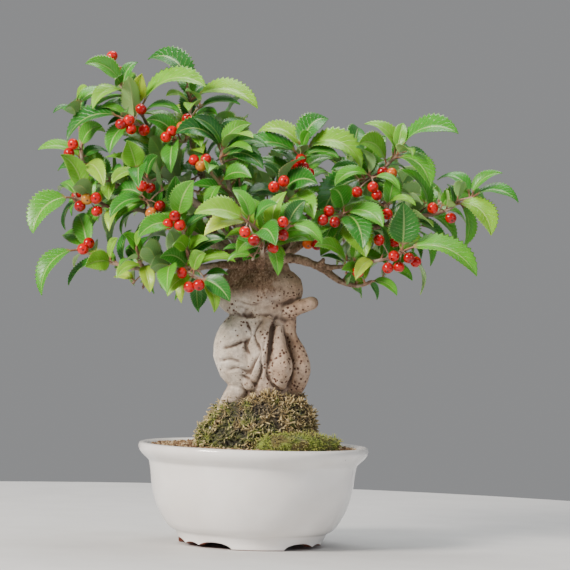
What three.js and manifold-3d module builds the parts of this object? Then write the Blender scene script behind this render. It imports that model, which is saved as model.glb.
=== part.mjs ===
// A Japanese winterberry bonsai in a round white pot: the pot, its drainage screen, the soil, two
// kinds of moss, the trunk with its limbs, and leafy sprays with their bunches of berries.
// Millimetres, +Z up. The origin is under the middle of the whole object's box, at the table.
import * as THREE from "three";
import { mergeVertices } from "three/addons/utils/BufferGeometryUtils.js";
import Module from "manifold-3d";

const wasm = await Module();
wasm.setup();

// Driving dimensions.
const POT_RIM_RADIUS = 57.5;
const POT_HEIGHT = 50;
const POT_PLACE = [-6.7, -8.2, 0]; // the pot's axis, from the origin
const POT_SIDES = 24;
const FOOT_RADIUS = 35.5;
const FOOT_TURN = 6.8; // degrees from the front to the middle of the first foot
const DRAIN_RADIUS = 6;
const SOIL_TOP = 48;
const LEAF_WIDTH = 0.4; // of the leaf's length
const LEAF_THICK = 0.62;
const STALK_SHARE = 0.14; // of the leaf's length
const LEAF_SUNK = 0.12; // how far a leaf's root lies past the middle of its stem
const BERRY_RADIUS = 2.7;
const STALK_RADIUS = 0.5;
const BUD_STEP = 0.05; // along a stem, when the place nearest to a bunch is looked for
const GAP = 0.32; // left between two pieces that touch
const CLEARANCE = 0.5; // kept between leaves
const SLIVER = 0.08; // how far a corner may lie from its neighbours' plane and be left out
const GRID = 0.004;
const TRUNK_SIDES = 8;
const LIMB_SIDES = 4;
const STEM_SIDES = 3;
const SEED = 7;

// The reference picture: one pixel is half a millimetre at the pot's axis.
const MM_PER_PIXEL = 0.5;
const PICTURE_FOOT = [250.5, 544]; // where the middle of the pot's foot stands in it
const PICTURE_ROLL = THREE.MathUtils.degToRad(1.8);
const EYE = new THREE.Vector3(13, -1300, 120); // where it was seen from, from the pot's foot
const TOWARDS_EYE = new THREE.Vector3(0, -1, 0);
const UP = new THREE.Vector3(0, 0, 1);
const CROWN_MIDDLE = new THREE.Vector3(12, 4, 155);

// Pixels across and down the picture, with the depth in millimetres, minus towards the eye.
function place([across, down, depth]) {
  const right = across - PICTURE_FOOT[0];
  const high = PICTURE_FOOT[1] - down;
  const x = MM_PER_PIXEL * (right * Math.cos(PICTURE_ROLL) - high * Math.sin(PICTURE_ROLL));
  const z = MM_PER_PIXEL * (right * Math.sin(PICTURE_ROLL) + high * Math.cos(PICTURE_ROLL));
  const spread = (depth - EYE.y) / -EYE.y;
  return new THREE.Vector3(EYE.x + (x - EYE.x) * spread, depth, EYE.z + (z - EYE.z) * spread);
}

// A row of seeded draws between 0 and 1.
function draws(seed) {
  let state = seed >>> 0;
  return () => {
    state = (state + 0x6d2b79f5) >>> 0;
    let t = Math.imul(state ^ (state >>> 15), state | 1);
    t = (t + Math.imul(t ^ (t >>> 7), t | 61)) ^ t;
    return ((t ^ (t >>> 14)) >>> 0) / 4294967296;
  };
}

// The closed solid that a geometry bounds.
function solid(geometry) {
  const bare = new THREE.BufferGeometry();
  bare.setAttribute("position", geometry.getAttribute("position"));
  bare.setIndex(geometry.getIndex());
  const merged = mergeVertices(bare, 1e-4);
  const build = (triVerts) => {
    const vertProperties = merged.getAttribute("position").array;
    return new wasm.Manifold(new wasm.Mesh({ numProp: 3, vertProperties, triVerts }));
  };
  const corners = merged.getIndex().array;
  const faces = new Uint32Array(corners.length);
  let count = 0;
  for (let i = 0; i < corners.length; i += 3) {
    const [a, b, c] = corners.subarray(i, i + 3);
    if (a === b || b === c || c === a) continue;
    faces.set([a, b, c], count);
    count += 3;
  }
  const whole = faces.subarray(0, count);
  const made = build(whole);
  return made.volume() > 0 ? made : build(whole.reverse());
}

const joined = (solids) => solids.reduce((all, one) => all.add(one));

// The same solid with its corners on a fine grid, so that none lie closer than a grid step.
function snapped(made) {
  const { vertProperties, triVerts } = made.getMesh();
  const places = vertProperties.map((value) => Math.round(value / GRID) * GRID);
  const geometry = new THREE.BufferGeometry();
  geometry.setAttribute("position", new THREE.BufferAttribute(places, 3));
  geometry.setIndex(new THREE.BufferAttribute(triVerts, 1));
  return solid(geometry);
}

// The largest body of a joined or cut solid, without the slivers that the joining leaves.
function largest(made) {
  const bodies = snapped(made.simplify(SLIVER)).decompose();
  return bodies.reduce((a, b) => (a.volume() > b.volume() ? a : b));
}

function curveThrough(points) {
  return new THREE.CatmullRomCurve3(points, false, "catmullrom", 0.5);
}

// The value at t, from 0 to 1, along evenly spaced values.
function between(values, t) {
  const at = Math.min(Math.max(t, 0), 1) * (values.length - 1);
  const low = Math.min(Math.floor(at), values.length - 2);
  return values[low] + (values[low + 1] - values[low]) * (at - low);
}

// A lathed stick bent along a curve. rings holds [place along the curve, radius].
function bentTube(curve, rings, sides) {
  const chord = curve.getPoint(1).sub(curve.getPoint(0));
  const steep = Math.abs(chord.z) > 0.75 * chord.length();
  const reference = steep ? new THREE.Vector3(0, 1, 0) : UP;
  const stations = rings.map(([along]) => {
    const t = Math.min(Math.max(along, 0), 1);
    const tangent = curve.getTangent(t);
    const point = curve.getPoint(t).addScaledVector(tangent, (along - t) * chord.length());
    const side = new THREE.Vector3().crossVectors(reference, tangent).normalize();
    return { point, side, lift: new THREE.Vector3().crossVectors(tangent, side) };
  });
  const profile = rings.map(([, radius], ring) => new THREE.Vector2(radius, ring));
  const geometry = new THREE.LatheGeometry(profile, sides);
  const position = geometry.getAttribute("position");
  for (let i = 0; i < position.count; i++) {
    const { point, side, lift } = stations[Math.round(position.getY(i))];
    const moved = point.clone().addScaledVector(side, position.getX(i));
    moved.addScaledVector(lift, position.getZ(i));
    position.setXYZ(i, moved.x, moved.y, moved.z);
  }
  return solid(geometry);
}

// A stick with flat ends whose radius runs from the first value to the last.
function stick(curve, radii, sides, steps, grow = 0) {
  const rings = [[0, 0]];
  for (let i = 0; i <= steps; i++) rings.push([i / steps, between(radii, i / steps) + grow]);
  rings.push([1, 0]);
  return bentTube(curve, rings, sides);
}

// A swelling with round ends, such as a fold of the trunk.
function lobe({ path, radii }, sides, steps, grow) {
  const curve = curveThrough(path.map(place));
  const length = curve.getPoint(1).distanceTo(curve.getPoint(0));
  const first = radii[0] + grow;
  const last = radii[radii.length - 1] + grow;
  const rings = [
    [-first / length, 0],
    [(-0.6 * first) / length, 0.8 * first],
  ];
  for (let i = 0; i <= steps; i++) rings.push([i / steps, between(radii, i / steps) + grow]);
  rings.push([1 + (0.6 * last) / length, 0.8 * last], [1 + last / length, 0]);
  return bentTube(curve, rings, sides);
}

// The trunk's folds and swellings, from the soil up to the crown: radii in millimetres.
const TRUNK_LOBES = [
  { path: [[252, 470, 2], [256, 440, 2], [264, 410, 2], [268, 392, 2]], radii: [11, 14, 15, 14] },
  { path: [[268, 398, 4], [266, 360, 4], [264, 322, 3], [262, 290, 2]], radii: [13.5, 14, 13, 13] },
  { path: [[266, 394, -3], [264, 368, -5], [262, 342, -5], [262, 318, -3]], radii: [10, 12, 11, 9] },
  { path: [[237, 391, -6], [228, 408, -9], [215, 432, -12]], radii: [5.5, 5, 4] },
  { path: [[252, 386, -4], [238, 369, -6], [233, 350, -6], [238, 331, -5], [247, 316, -3]],
    radii: [6, 9.5, 10, 9, 6] },
  { path: [[290, 318, 0], [289, 336, -3], [296, 354, -4], [299, 372, -5], [292, 392, -2]],
    radii: [3.5, 4, 5.5, 6, 5] },
  { path: [[279, 330, -12], [280, 350, -14], [282, 366, -14], [280, 382, -11]],
    radii: [2.4, 3.6, 5.8, 4.2] },
  { path: [[268, 320, -12], [265, 342, -15], [259, 364, -15], [250, 384, -12]],
    radii: [2.6, 2.8, 2.8, 3.4] },
  { path: [[240, 298, 0], [262, 290, -1], [284, 289, 0]], radii: [9.5, 13, 9.8] },
  { path: [[236, 284, 2], [252, 272, 2], [272, 270, 1]], radii: [8, 10.5, 9] },
  { path: [[286, 312, -3], [300, 307, -5], [312, 303, -6]], radii: [4.4, 3.8, 3.4] },
  { path: [[217, 296, -3], [227, 306, -5], [240, 313, -7]], radii: [2.2, 2.8, 3] },
];

// Limbs: their paths, and their radii from root to end.
const LIMBS = {
  left_low: { path: [[246, 264, -6], [218, 265, -15], [188, 269, -18], [157, 270, -18],
    [130, 268, -16]],
    radii: [2.2, 1.1] },
  left_mid: { path: [[244, 262, 0], [208, 242, 0], [168, 221, -5], [140, 210, -7], [118, 211, -9]],
    radii: [2.1, 1] },
  left_high: { path: [[250, 268, 4], [204, 232, 12], [162, 205, 8], [126, 190, 2], [102, 181, -1]],
    radii: [2.2, 1] },
  leader_left: { path: [[250, 262, 3], [224, 226, 6], [182, 192, 6], [160, 162, 3], [150, 132, 0],
    [143, 116, -2]],
    radii: [2.8, 0.9] },
  leader: { path: [[256, 262, 8], [240, 224, 14], [213, 194, 15], [196, 162, 9], [191, 132, 4],
    [190, 113, 1]],
    radii: [2.8, 0.9] },
  center_up: { path: [[264, 262, -2], [250, 228, -4], [234, 200, -8], [227, 178, -10],
    [222, 162, -12]],
    radii: [2.1, 0.9] },
  right_up: { path: [[270, 262, 2], [284, 224, 4], [294, 198, 1], [300, 174, -2]],
    radii: [2.2, 0.9] },
  right_high: { path: [[274, 262, 8], [300, 224, 14], [332, 202, 13], [360, 185, 9], [382, 171, 6]],
    radii: [2.3, 0.9] },
  right_mid: { path: [[276, 262, 4], [306, 242, 10], [342, 232, 8], [376, 227, 4], [404, 221, 0],
    [420, 216, -2]],
    radii: [2.2, 0.9] },
  right_low: { path: [[276, 258, -5], [297, 259, -9], [319, 267, -12], [342, 282, -14],
    [357, 286, -15]],
    radii: [2.8, 1.1] },
  right_low_fork: { path: [[316, 265, -11], [338, 267, -15], [358, 263, -18]], radii: [1.5, 1] },
  front: { path: [[262, 272, 0], [262, 256, -20], [263, 240, -34]], radii: [2.2, 1.1] },
  back_left: { path: [[246, 264, 8], [216, 234, 26], [182, 214, 36], [158, 204, 40]],
    radii: [2.3, 1] },
  back: { path: [[260, 264, 8], [260, 228, 22], [252, 190, 31], [246, 164, 34]], radii: [2.3, 1] },
  back_right: { path: [[272, 264, 8], [304, 234, 28], [338, 218, 40], [362, 210, 45]],
    radii: [2.3, 1] },
  dry_stalk: { path: [[254, 270, 0], [255, 262, -13], [262, 275, -17]], radii: [0.8, 0.6] },
};

// A leaf whose stalk leaves the stem at a share of its length, with its tip's place in the picture.
// face is how far it turns to the viewer, from 0 to 1, and wide is a share of the usual width.
const leaf = (at, across, down, depth, face = 0.4, wide = 1, arch = 0.2) => ({
  at, tip: [across, down, depth], face, wide, arch,
});

// The sprays: the limb and where on it they grow, the stem's way from there, the leaves that
// show from the front, the number that fill in round the stem, and the bunch of berries.
const SPRAYS = [
  { name: "left_low_tip", limb: "left_low", at: 1, stem: [[106, 261, -15], [80, 250, -16]],
    leaves: [leaf(1, 42, 296, -26, 0.35, 1, 0.24), leaf(0.85, 74, 268, -4, 0.3, 0.8),
      leaf(0.4, 118, 238, -24, 0.6, 0.9), leaf(0.35, 85, 267, -30, 0.85, 1.4, 0.1)],
    fill: 2, berries: [[83, 249, -22], [89, 243, -20]] },
  { name: "left_low_inner", limb: "left_low", at: 0.86, stem: [[140, 262, -24], [137, 250, -28]],
    leaves: [leaf(0.7, 125, 238, -36, 0.7, 1.1), leaf(1, 146, 228, -34, 0.6, 0.9),
      leaf(0.3, 150, 293, -30, 0.5, 1.1)], fill: 1 },
  { name: "trunk_left", limb: "left_low", at: 0.5, stem: [[190, 274, -26], [199, 279, -32]],
    leaves: [leaf(0.9, 198, 310, -38, 0.6, 0.9), leaf(1, 214, 313, -34, 0.6, 0.9),
      leaf(1, 230, 302, -38, 0.8, 1.2, 0.15), leaf(0.8, 171, 294, -40, 0.6, 1.1),
      leaf(0.7, 206, 254, -44, 0.7, 1), leaf(0.4, 236, 262, -32, 0.4, 1),
      leaf(0.2, 160, 258, -36, 0.8, 1.2)],
    fill: 0, berries: [[199, 285, -40], [189, 287, -38], [182, 273, -36]] },
  { name: "front_left", limb: "left_low", at: 0.46, stem: [[188, 254, -26], [184, 234, -28],
    [178, 219, -30]],
    leaves: [leaf(0.95, 194, 180, -38, 0.85, 1.3, 0.12), leaf(1, 176, 175, -30, 0.8, 1.1),
      leaf(0.8, 138, 238, -40, 0.6, 1.1), leaf(0.35, 175, 234, -40, 0.85, 1.2),
      leaf(0.3, 204, 243, -38, 0.6, 0.9)],
    fill: 1, berries: [[175, 216, -37], [180, 225, -36]] },
  { name: "left_mid_tip", limb: "left_mid", at: 1, stem: [[98, 202, -11], [74, 198, -14]],
    leaves: [leaf(1, 33, 234, -26, 0.5, 1.35, 0.22), leaf(0.85, 60, 153, -16, 0.75, 1),
      leaf(0.95, 60, 184, -2, 0.4, 0.9), leaf(0.6, 87, 172, -8, 0.6, 0.8),
      leaf(0.3, 91, 232, -22, 0.6, 1.1),
      leaf(0.2, 76, 247, -10, 0.5, 1)],
    fill: 1, berries: [[80, 206, -20], [87, 199, -21], [97, 211, -18]] },
  { name: "left_mid_inner", limb: "left_mid", at: 0.66, stem: [[152, 204, -14], [146, 200, -20]],
    leaves: [leaf(0.9, 110, 218, -28, 0.45, 1.1), leaf(0.5, 115, 224, -14, 0.5, 1.1),
      leaf(1, 106, 194, -16, 0.7, 1.2)], fill: 2, berries: [[151, 213, -28], [160, 206, -26]] },
  { name: "left_high_tip", limb: "left_high", at: 1,
    stem: [[90, 172, -3], [82, 160, -4], [80, 134, -4], [77, 104, -4]],
    leaves: [leaf(1, 87, 86, -12, 0.5, 0.9), leaf(0.93, 53, 113, -12, 0.35, 0.8),
      leaf(0.97, 112, 94, 6, 0.4, 1.2), leaf(0.45, 40, 150, -14, 0.4, 1),
      leaf(0.6, 106, 124, -12, 0.7, 1.2),
      leaf(0.4, 104, 187, -20, 0.8, 1), leaf(0.5, 108, 152, 4, 0.5, 1.1)],
    fill: 2, berries: [[69, 153, -12], [73, 144, -14]] },
  { name: "leader_left_low", limb: "leader_left", at: 0.52, stem: [[150, 182, -14],
    [137, 172, -26]],
    leaves: [leaf(1, 127, 140, -36, 0.95, 1.5, 0.08), leaf(0.9, 112, 184, -32, 0.5, 1.1),
      leaf(0.6, 158, 156, -26, 0.6, 1.1)], fill: 2, berries: [[150, 188, -26], [142, 186, -30]] },
  { name: "leader_left_mid", limb: "leader_left", at: 0.85, stem: [[134, 124, -12],
    [124, 119, -16]],
    leaves: [leaf(1, 67, 141, -22, 0.4, 1.1, 0.24), leaf(0.8, 98, 108, -16, 0.4, 1),
      leaf(0.5, 112, 150, -24, 0.6, 1.1)],
    fill: 2, berries: [[121, 124, -24], [129, 120, -24], [131, 129, -22]] },
  { name: "back_low", limb: "back", at: 0.35, stem: [[236, 228, 44], [228, 218, 56]], fill: 5 },
  { name: "top_left", limb: "leader_left", at: 1, stem: [[136, 104, -5], [121, 86, -7]],
    leaves: [leaf(0.95, 88, 54, -10, 0.6, 1.1), leaf(1, 116, 56, -14, 0.85, 1.1, 0.12),
      leaf(0.9, 138, 62, 2, 0.5, 0.9), leaf(0.75, 91, 86, -20, 0.35, 1.1, 0.26),
      leaf(0.3, 142, 73, -14, 0.8, 1, 0.12), leaf(0.2, 202, 88, -24, 0.4, 1.1, 0.26),
      leaf(0.1, 181, 114, -10, 0.3, 1)], fill: 1, berries: [[111, 66, 0], [118, 71, 2]] },
  { name: "top", limb: "leader", at: 1, stem: [[191, 104, 0], [187, 90, -1]],
    leaves: [leaf(1, 145, 57, 4, 0.4, 1.4, 0.3), leaf(0.6, 258, 109, -10, 0.35, 1.1, 0.22),
      leaf(0.35, 166, 96, -12, 0.4, 1), leaf(0.5, 212, 86, 12, 0.4, 1)],
    fill: 2, berries: [[182, 127, -6], [187, 119, -8], [192, 121, -10]] },
  { name: "leader_mid", limb: "leader", at: 0.78, stem: [[184, 142, 0], [174, 140, -8]],
    leaves: [leaf(0.9, 146, 120, -14, 0.7, 1.2), leaf(0.3, 166, 98, -24, 0.6, 1)],
    fill: 3, berries: [[166, 137, -16], [172, 131, -14]] },
  { name: "center_up_tip", limb: "center_up", at: 1, stem: [[221, 157, -13], [223, 150, -14]],
    leaves: [leaf(0.6, 172, 157, -26, 0.5, 1.25, 0.28), leaf(0.8, 191, 117, -14, 0.5, 1.1),
      leaf(1, 238, 113, -12, 0.7, 1), leaf(0.9, 257, 117, 0, 0.5, 1),
      leaf(0.7, 268, 147, -22, 0.35, 1),
      leaf(0.4, 256, 154, -32, 0.5, 1)], fill: 1 },
  { name: "center_mid", limb: "center_up", at: 0.55, stem: [[222, 186, -16], [212, 174, -22]],
    leaves: [leaf(1, 208, 186, -44, 0.6, 0.9), leaf(0.9, 180, 160, -20, 0.5, 1.1),
      leaf(0.6, 252, 178, -30, 0.6, 1.1)],
    fill: 2, berries: [[194, 160, -22], [201, 166, -26], [206, 159, -24]] },
  { name: "center_front", limb: "front", at: 1, stem: [[258, 230, -40], [248, 222, -44]],
    leaves: [leaf(1, 194, 214, -52, 0.5, 1.3, 0.14), leaf(0.8, 204, 236, -44, 0.5, 1.1),
      leaf(0.4, 276, 246, -58, 0.8, 1.3), leaf(1, 232, 190, -42, 0.5, 1.2),
      leaf(0.7, 278, 204, -52, 0.5, 1)],
    fill: 1, berries: [[254, 240, -52], [245, 232, -52]] },
  { name: "center_right", limb: "front", at: 0.6, stem: [[276, 240, -36], [288, 227, -42]],
    leaves: [leaf(1, 306, 200, -46, 0.9, 1.4, 0.1), leaf(1, 322, 245, -48, 0.45, 1.1),
      leaf(0.3, 278, 276, -40, 0.6, 1)], fill: 2, berries: [[283, 222, -48], [283, 235, -48],
      [273, 248, -44]] },
  { name: "right_up_tip", limb: "right_up", at: 1, stem: [[301, 162, -4], [302, 152, -5]],
    leaves: [leaf(1, 257, 133, -2, 0.45, 1.2, 0.26), leaf(0.7, 248, 139, -18, 0.4, 1.1),
      leaf(1, 329, 119, 6, 0.4, 1.3, 0.26), leaf(1, 314, 126, -16, 0.6, 0.9),
      leaf(0.9, 363, 146, -10, 0.45, 1.2, 0.34), leaf(0.6, 335, 158, -16, 0.5, 0.9)],
    fill: 1, berries: [[301, 159, -12], [295, 165, -11], [309, 173, -10]] },
  { name: "right_up_mid", limb: "right_up", at: 0.55, stem: [[288, 200, -10], [280, 188, -18]],
    leaves: [leaf(1, 262, 166, -26, 0.4, 1), leaf(0.8, 318, 184, -30, 0.7, 1.3),
      leaf(0.5, 310, 216, -32, 0.6, 1.2)],
    fill: 2, berries: [[274, 187, -26], [284, 181, -26]] },
  { name: "right_high_tip", limb: "right_high", at: 1, stem: [[390, 162, 5], [399, 154, 4]],
    leaves: [leaf(1, 459, 134, -4, 0.4, 1.3, 0.26), leaf(0.7, 364, 124, 6, 0.4, 1.1, 0.28),
      leaf(0.3, 362, 134, -12, 0.6, 1.2), leaf(0.7, 430, 188, -12, 0.4, 1.2, 0.22),
      leaf(1, 431, 171, 2, 0.4, 1, 0.28), leaf(0.9, 402, 128, 16, 0.5, 0.9)],
    fill: 0, berries: [[383, 172, -3], [392, 173, -4]] },
  { name: "right_high_mid", limb: "right_high", at: 0.8, stem: [[366, 180, 0], [372, 178, -6]],
    leaves: [leaf(1, 346, 183, -22, 0.4, 1.1, 0.24), leaf(0.4, 331, 170, -4, 0.5, 1.1),
      leaf(1, 400, 191, -14, 0.4, 0.9), leaf(0.6, 336, 206, -26, 0.8, 1.3)],
    fill: 1, berries: [[357, 192, -16], [373, 187, -16], [377, 195, -14]] },
  { name: "right_mid_inner", limb: "right_mid", at: 0.42, stem: [[342, 220, -6], [344, 214, -16]],
    leaves: [leaf(0.8, 358, 240, -38, 0.6, 1.2), leaf(0.5, 366, 258, -24, 0.8, 1.3, 0.12),
      leaf(1, 387, 229, -26, 0.5, 1.2), leaf(0.8, 316, 238, -28, 0.6, 1.2),
      leaf(1, 330, 190, -36, 0.8, 1.3)],
    fill: 1, berries: [[323, 220, -26], [335, 222, -26]] },
  { name: "right_mid_outer", limb: "right_mid", at: 0.72, stem: [[388, 212, -4], [386, 206, -10]],
    leaves: [leaf(1, 416, 206, -18, 0.35, 1, 0.22), leaf(0.4, 364, 216, -16, 0.5, 1.1)],
    fill: 2, berries: [[387, 214, -18], [396, 233, -14], [395, 242, -15]] },
  { name: "far_right", limb: "right_mid", at: 1, stem: [[436, 214, -4], [450, 209, -6],
    [459, 200, -7], [472, 198, -8]],
    leaves: [leaf(1, 503, 173, -10, 0.45, 1), leaf(1, 519, 203, -14, 0.4, 1.05, 0.22),
      leaf(0.95, 437, 180, 0, 0.4, 1.1, 0.3), leaf(0.7, 463, 174, -16, 0.3, 0.9),
      leaf(0.6, 491, 236, -20, 0.45, 1.3, 0.26), leaf(0.72, 463, 247, -10, 0.5, 1.1),
      leaf(0.12, 401, 170, -6, 0.4, 1.1), leaf(0.05, 454, 250, -4, 0.4, 1.2, 0.26)],
    fill: 0, berries: [[433, 208, -12], [451, 218, -14]] },
  { name: "right_low_end", limb: "right_low_fork", at: 1, stem: [[376, 261, -20], [390, 258, -21],
    [402, 252, -22]],
    leaves: [leaf(1, 403, 202, -32, 0.85, 1.5, 0.08), leaf(0.9, 429, 240, -28, 0.7, 1.2),
      leaf(1, 477, 277, -30, 0.4, 1.1, 0.22), leaf(0.95, 423, 297, -28, 0.35, 1, 0.26),
      leaf(0.3, 360, 276, -34, 0.5, 1)],
    fill: 1, berries: [[394, 256, -28], [399, 267, -24], [409, 258, -30], [416, 262, -25]] },
  { name: "right_low_tip", limb: "right_low", at: 1, stem: [[364, 285, -17], [370, 282, -20]],
    leaves: [leaf(1, 397, 296, -24, 0.5, 1), leaf(0.8, 377, 300, -12, 0.6, 0.9),
      leaf(0.6, 345, 260, -30, 0.5, 1)],
    fill: 1 },
  { name: "back_left_tip", limb: "back_left", at: 1, stem: [[138, 196, 43], [122, 190, 46]],
    fill: 7 },
  { name: "back_left_mid", limb: "back_left", at: 0.62, stem: [[176, 184, 34], [170, 158, 34]],
    fill: 6 },
  { name: "back_tip", limb: "back", at: 1, stem: [[238, 150, 34], [230, 138, 33]], fill: 7 },
  { name: "back_mid", limb: "back", at: 0.6, stem: [[276, 186, 44], [290, 176, 52]], fill: 6 },
  { name: "back_right_tip", limb: "back_right", at: 1, stem: [[384, 204, 47], [402, 196, 50]],
    fill: 7 },
  { name: "back_right_mid", limb: "back_right", at: 0.62, stem: [[350, 188, 36], [352, 164, 33]],
    fill: 6 },
];

// Where a leaf that would meet another is swung to, in millimetres of depth and of height.
const SWINGS = [
  [0, 0], [5, 0], [-5, 0], [10, 0], [-10, 0], [0, 6], [0, -6], [8, 6], [-8, 6], [8, -6], [-8, -6],
  [16, 0], [-16, 0], [0, 12], [0, -12], [12, 12], [-12, 12], [12, -12], [-12, -12],
];

// A leaf's bones: the arc of its midrib, and the way its face is turned.
const OUTWARD_LEAN = 0.12;
function leafBones(stalk, tip, face, arch, towards) {
  const along = tip.clone().sub(stalk).normalize();
  const base = stalk.clone().addScaledVector(along, -LEAF_SUNK);
  const length = tip.distanceTo(base);
  const outward = base.clone().sub(CROWN_MIDDLE).setZ(0).normalize();
  const bow = UP.clone().addScaledVector(outward, OUTWARD_LEAN);
  bow.addScaledVector(along, -bow.dot(along)).normalize();
  const half = 2 * Math.atan(2 * arch);
  const radius = length / (2 * Math.sin(half));
  const seen = towards.clone().addScaledVector(along, -towards.dot(along)).normalize();
  const turned = bow.clone().multiplyScalar(1 - face).addScaledVector(seen, face).normalize();
  const across = new THREE.Vector3().crossVectors(along, bow);
  const roll = Math.atan2(turned.dot(across), turned.dot(bow));
  return { base, along, bow, across, length, half, radius, roll };
}

// The point at a share t of the midrib, with the blade's normal and its sideways direction.
function leafStation(bones, t) {
  const { base, along, bow, across, length, half, radius, roll } = bones;
  const angle = half * (2 * t - 1);
  const point = base.clone().addScaledVector(along, length / 2 + radius * Math.sin(angle));
  point.addScaledVector(bow, radius * (Math.cos(angle) - Math.cos(half)));
  const outer = along.clone().multiplyScalar(Math.sin(angle)).addScaledVector(bow, Math.cos(angle));
  const normal = outer.clone().multiplyScalar(Math.cos(roll)).addScaledVector(across, Math.sin(roll));
  const side = across.clone().multiplyScalar(Math.cos(roll)).addScaledVector(outer, -Math.sin(roll));
  return { point, normal, side };
}

// Places along a leaf and the half width there, as shares of its length and of its half width: a
// tooth, the notch behind it and the next tooth.
const TOOTH_ROWS = [[0.38, 0.98], [0.47, 0.82], [0.66, 0.92]];

// A closed blade: the same triangles on its upper and its lower face.
function leafBlade(bones, wide, thick, from = 0) {
  const halfWidth = (LEAF_WIDTH * wide * bones.length) / 2;
  const left = [];
  const right = [];
  for (const [t, share] of TOOTH_ROWS) {
    const { point, normal, side } = leafStation(bones, t);
    left.push({ point: point.clone().addScaledVector(side, halfWidth * share), normal });
    right.push({ point: point.clone().addScaledVector(side, -halfWidth * share), normal });
  }
  const ends = [from, 1].map((t) => leafStation(bones, t));
  const edge = [ends[0], ...left, ends[1], ...right.reverse()];
  const count = edge.length;
  const points = [thick / 2, -thick / 2].flatMap((lift) =>
    edge.map(({ point, normal }) => point.clone().addScaledVector(normal, lift)),
  );
  const faces = [];
  const rowCount = TOOTH_ROWS.length;
  faces.push([0, count - 1, 1]);
  for (let i = 1; i < rowCount; i++) {
    faces.push([i, count - i, count - i - 1], [i, count - i - 1, i + 1]);
  }
  faces.push([rowCount, rowCount + 2, rowCount + 1]);
  const index = [];
  for (const [a, b, c] of faces) index.push(a, b, c, count + a, count + c, count + b);
  for (let i = 0; i < count; i++) {
    const next = (i + 1) % count;
    index.push(i, next, count + next, i, count + next, count + i);
  }
  const geometry = new THREE.BufferGeometry().setFromPoints(points);
  return solid(geometry.setIndex(index));
}

function boxesMeet(a, b) {
  return [0, 1, 2].every((i) => a.min[i] < b.max[i] && b.min[i] < a.max[i]);
}

// Everything placed so far, each piece with its box and the name of the node it belongs to.
const placed = [];
function put(made, owner) {
  placed.push({ made, owner, box: made.boundingBox() });
}
function meets(made, against) {
  const box = made.boundingBox();
  return placed.some((other) => {
    if (!against(other) || !boxesMeet(box, other.box)) return false;
    return made.intersect(other.made).volume() > 0;
  });
}

// A tip swung by a step, with the leaf's length kept.
function swung(base, tip, [deeper, higher]) {
  const aim = tip.clone().add(new THREE.Vector3(0, deeper, higher)).sub(base);
  return base.clone().addScaledVector(aim.normalize(), tip.distanceTo(base));
}

// The first leaf among the swings that stays clear of all that is placed, or none.
function clearLeaf(owner, { base, tip, face, wide, arch, towards }) {
  for (const swing of SWINGS) {
    const bones = leafBones(base, swung(base, tip, swing), face, arch, towards);
    const whole = leafBlade(bones, wide, LEAF_THICK + 2 * CLEARANCE);
    const blade = leafBlade(bones, wide, LEAF_THICK + CLEARANCE, STALK_SHARE);
    if (meets(whole, (other) => other.owner !== owner)) continue;
    if (meets(blade, (other) => other.owner === owner)) continue;
    const made = leafBlade(bones, wide, LEAF_THICK);
    put(made, owner);
    return made;
  }
  return null;
}

// Leaves that fill in round a stem, each turned on from the last by the golden angle. The lists
// hold the least value and how far a draw can add to it.
const GOLDEN_ANGLE = THREE.MathUtils.degToRad(137.5);
const FIRST_LEAF = 0.3; // along the stem
const FILL_FORWARD = [0.35, 0.5];
const FILL_RISE = 0.25;
const FILL_LENGTH = [21, 8];
const FILL_WIDE = [0.95, 0.35];
const FILL_ARCH = [0.14, 0.12];
const FILL_FACE = 0.35;
function fillLeaves(curve, count, draw) {
  const made = [];
  const drawn = ([least, more]) => least + more * draw();
  const start = draw() * 2 * Math.PI;
  for (let k = 0; k < count; k++) {
    const at = FIRST_LEAF + ((1 - FIRST_LEAF) * (k + 0.6)) / count;
    const base = onStem(curve, at);
    const tangent = curve.getTangent(at);
    const side = new THREE.Vector3().crossVectors(UP, tangent).normalize();
    const lift = new THREE.Vector3().crossVectors(tangent, side);
    const turn = start + k * GOLDEN_ANGLE;
    const aim = tangent.clone().multiplyScalar(drawn(FILL_FORWARD));
    aim.addScaledVector(side, Math.cos(turn)).addScaledVector(lift, Math.sin(turn));
    aim.addScaledVector(UP, FILL_RISE).normalize();
    const tip = base.clone().addScaledVector(aim, drawn(FILL_LENGTH));
    const towards = base.clone().sub(CROWN_MIDDLE).normalize();
    const wide = drawn(FILL_WIDE);
    made.push({ base, tip, face: FILL_FACE, wide, arch: drawn(FILL_ARCH), towards });
  }
  return made;
}

// The way of a spray's stem, from the middle of its limb.
const STEM_RADII = [0.9, 0.6];
function stemCurve({ limb, at, stem }) {
  const root = curveThrough(LIMBS[limb].path.map(place)).getPoint(at);
  return curveThrough([root, ...stem.map(place)]);
}

function stemSolid(curve) {
  return stick(curve, STEM_RADII, STEM_SIDES, curve.points.length - 1);
}

// The point at a share t of a stem, which runs straight from each of its points to the next.
function onStem({ points }, t) {
  const at = t * (points.length - 1);
  const low = Math.min(Math.floor(at), points.length - 2);
  return points[low].clone().lerp(points[low + 1], at - low);
}

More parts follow.
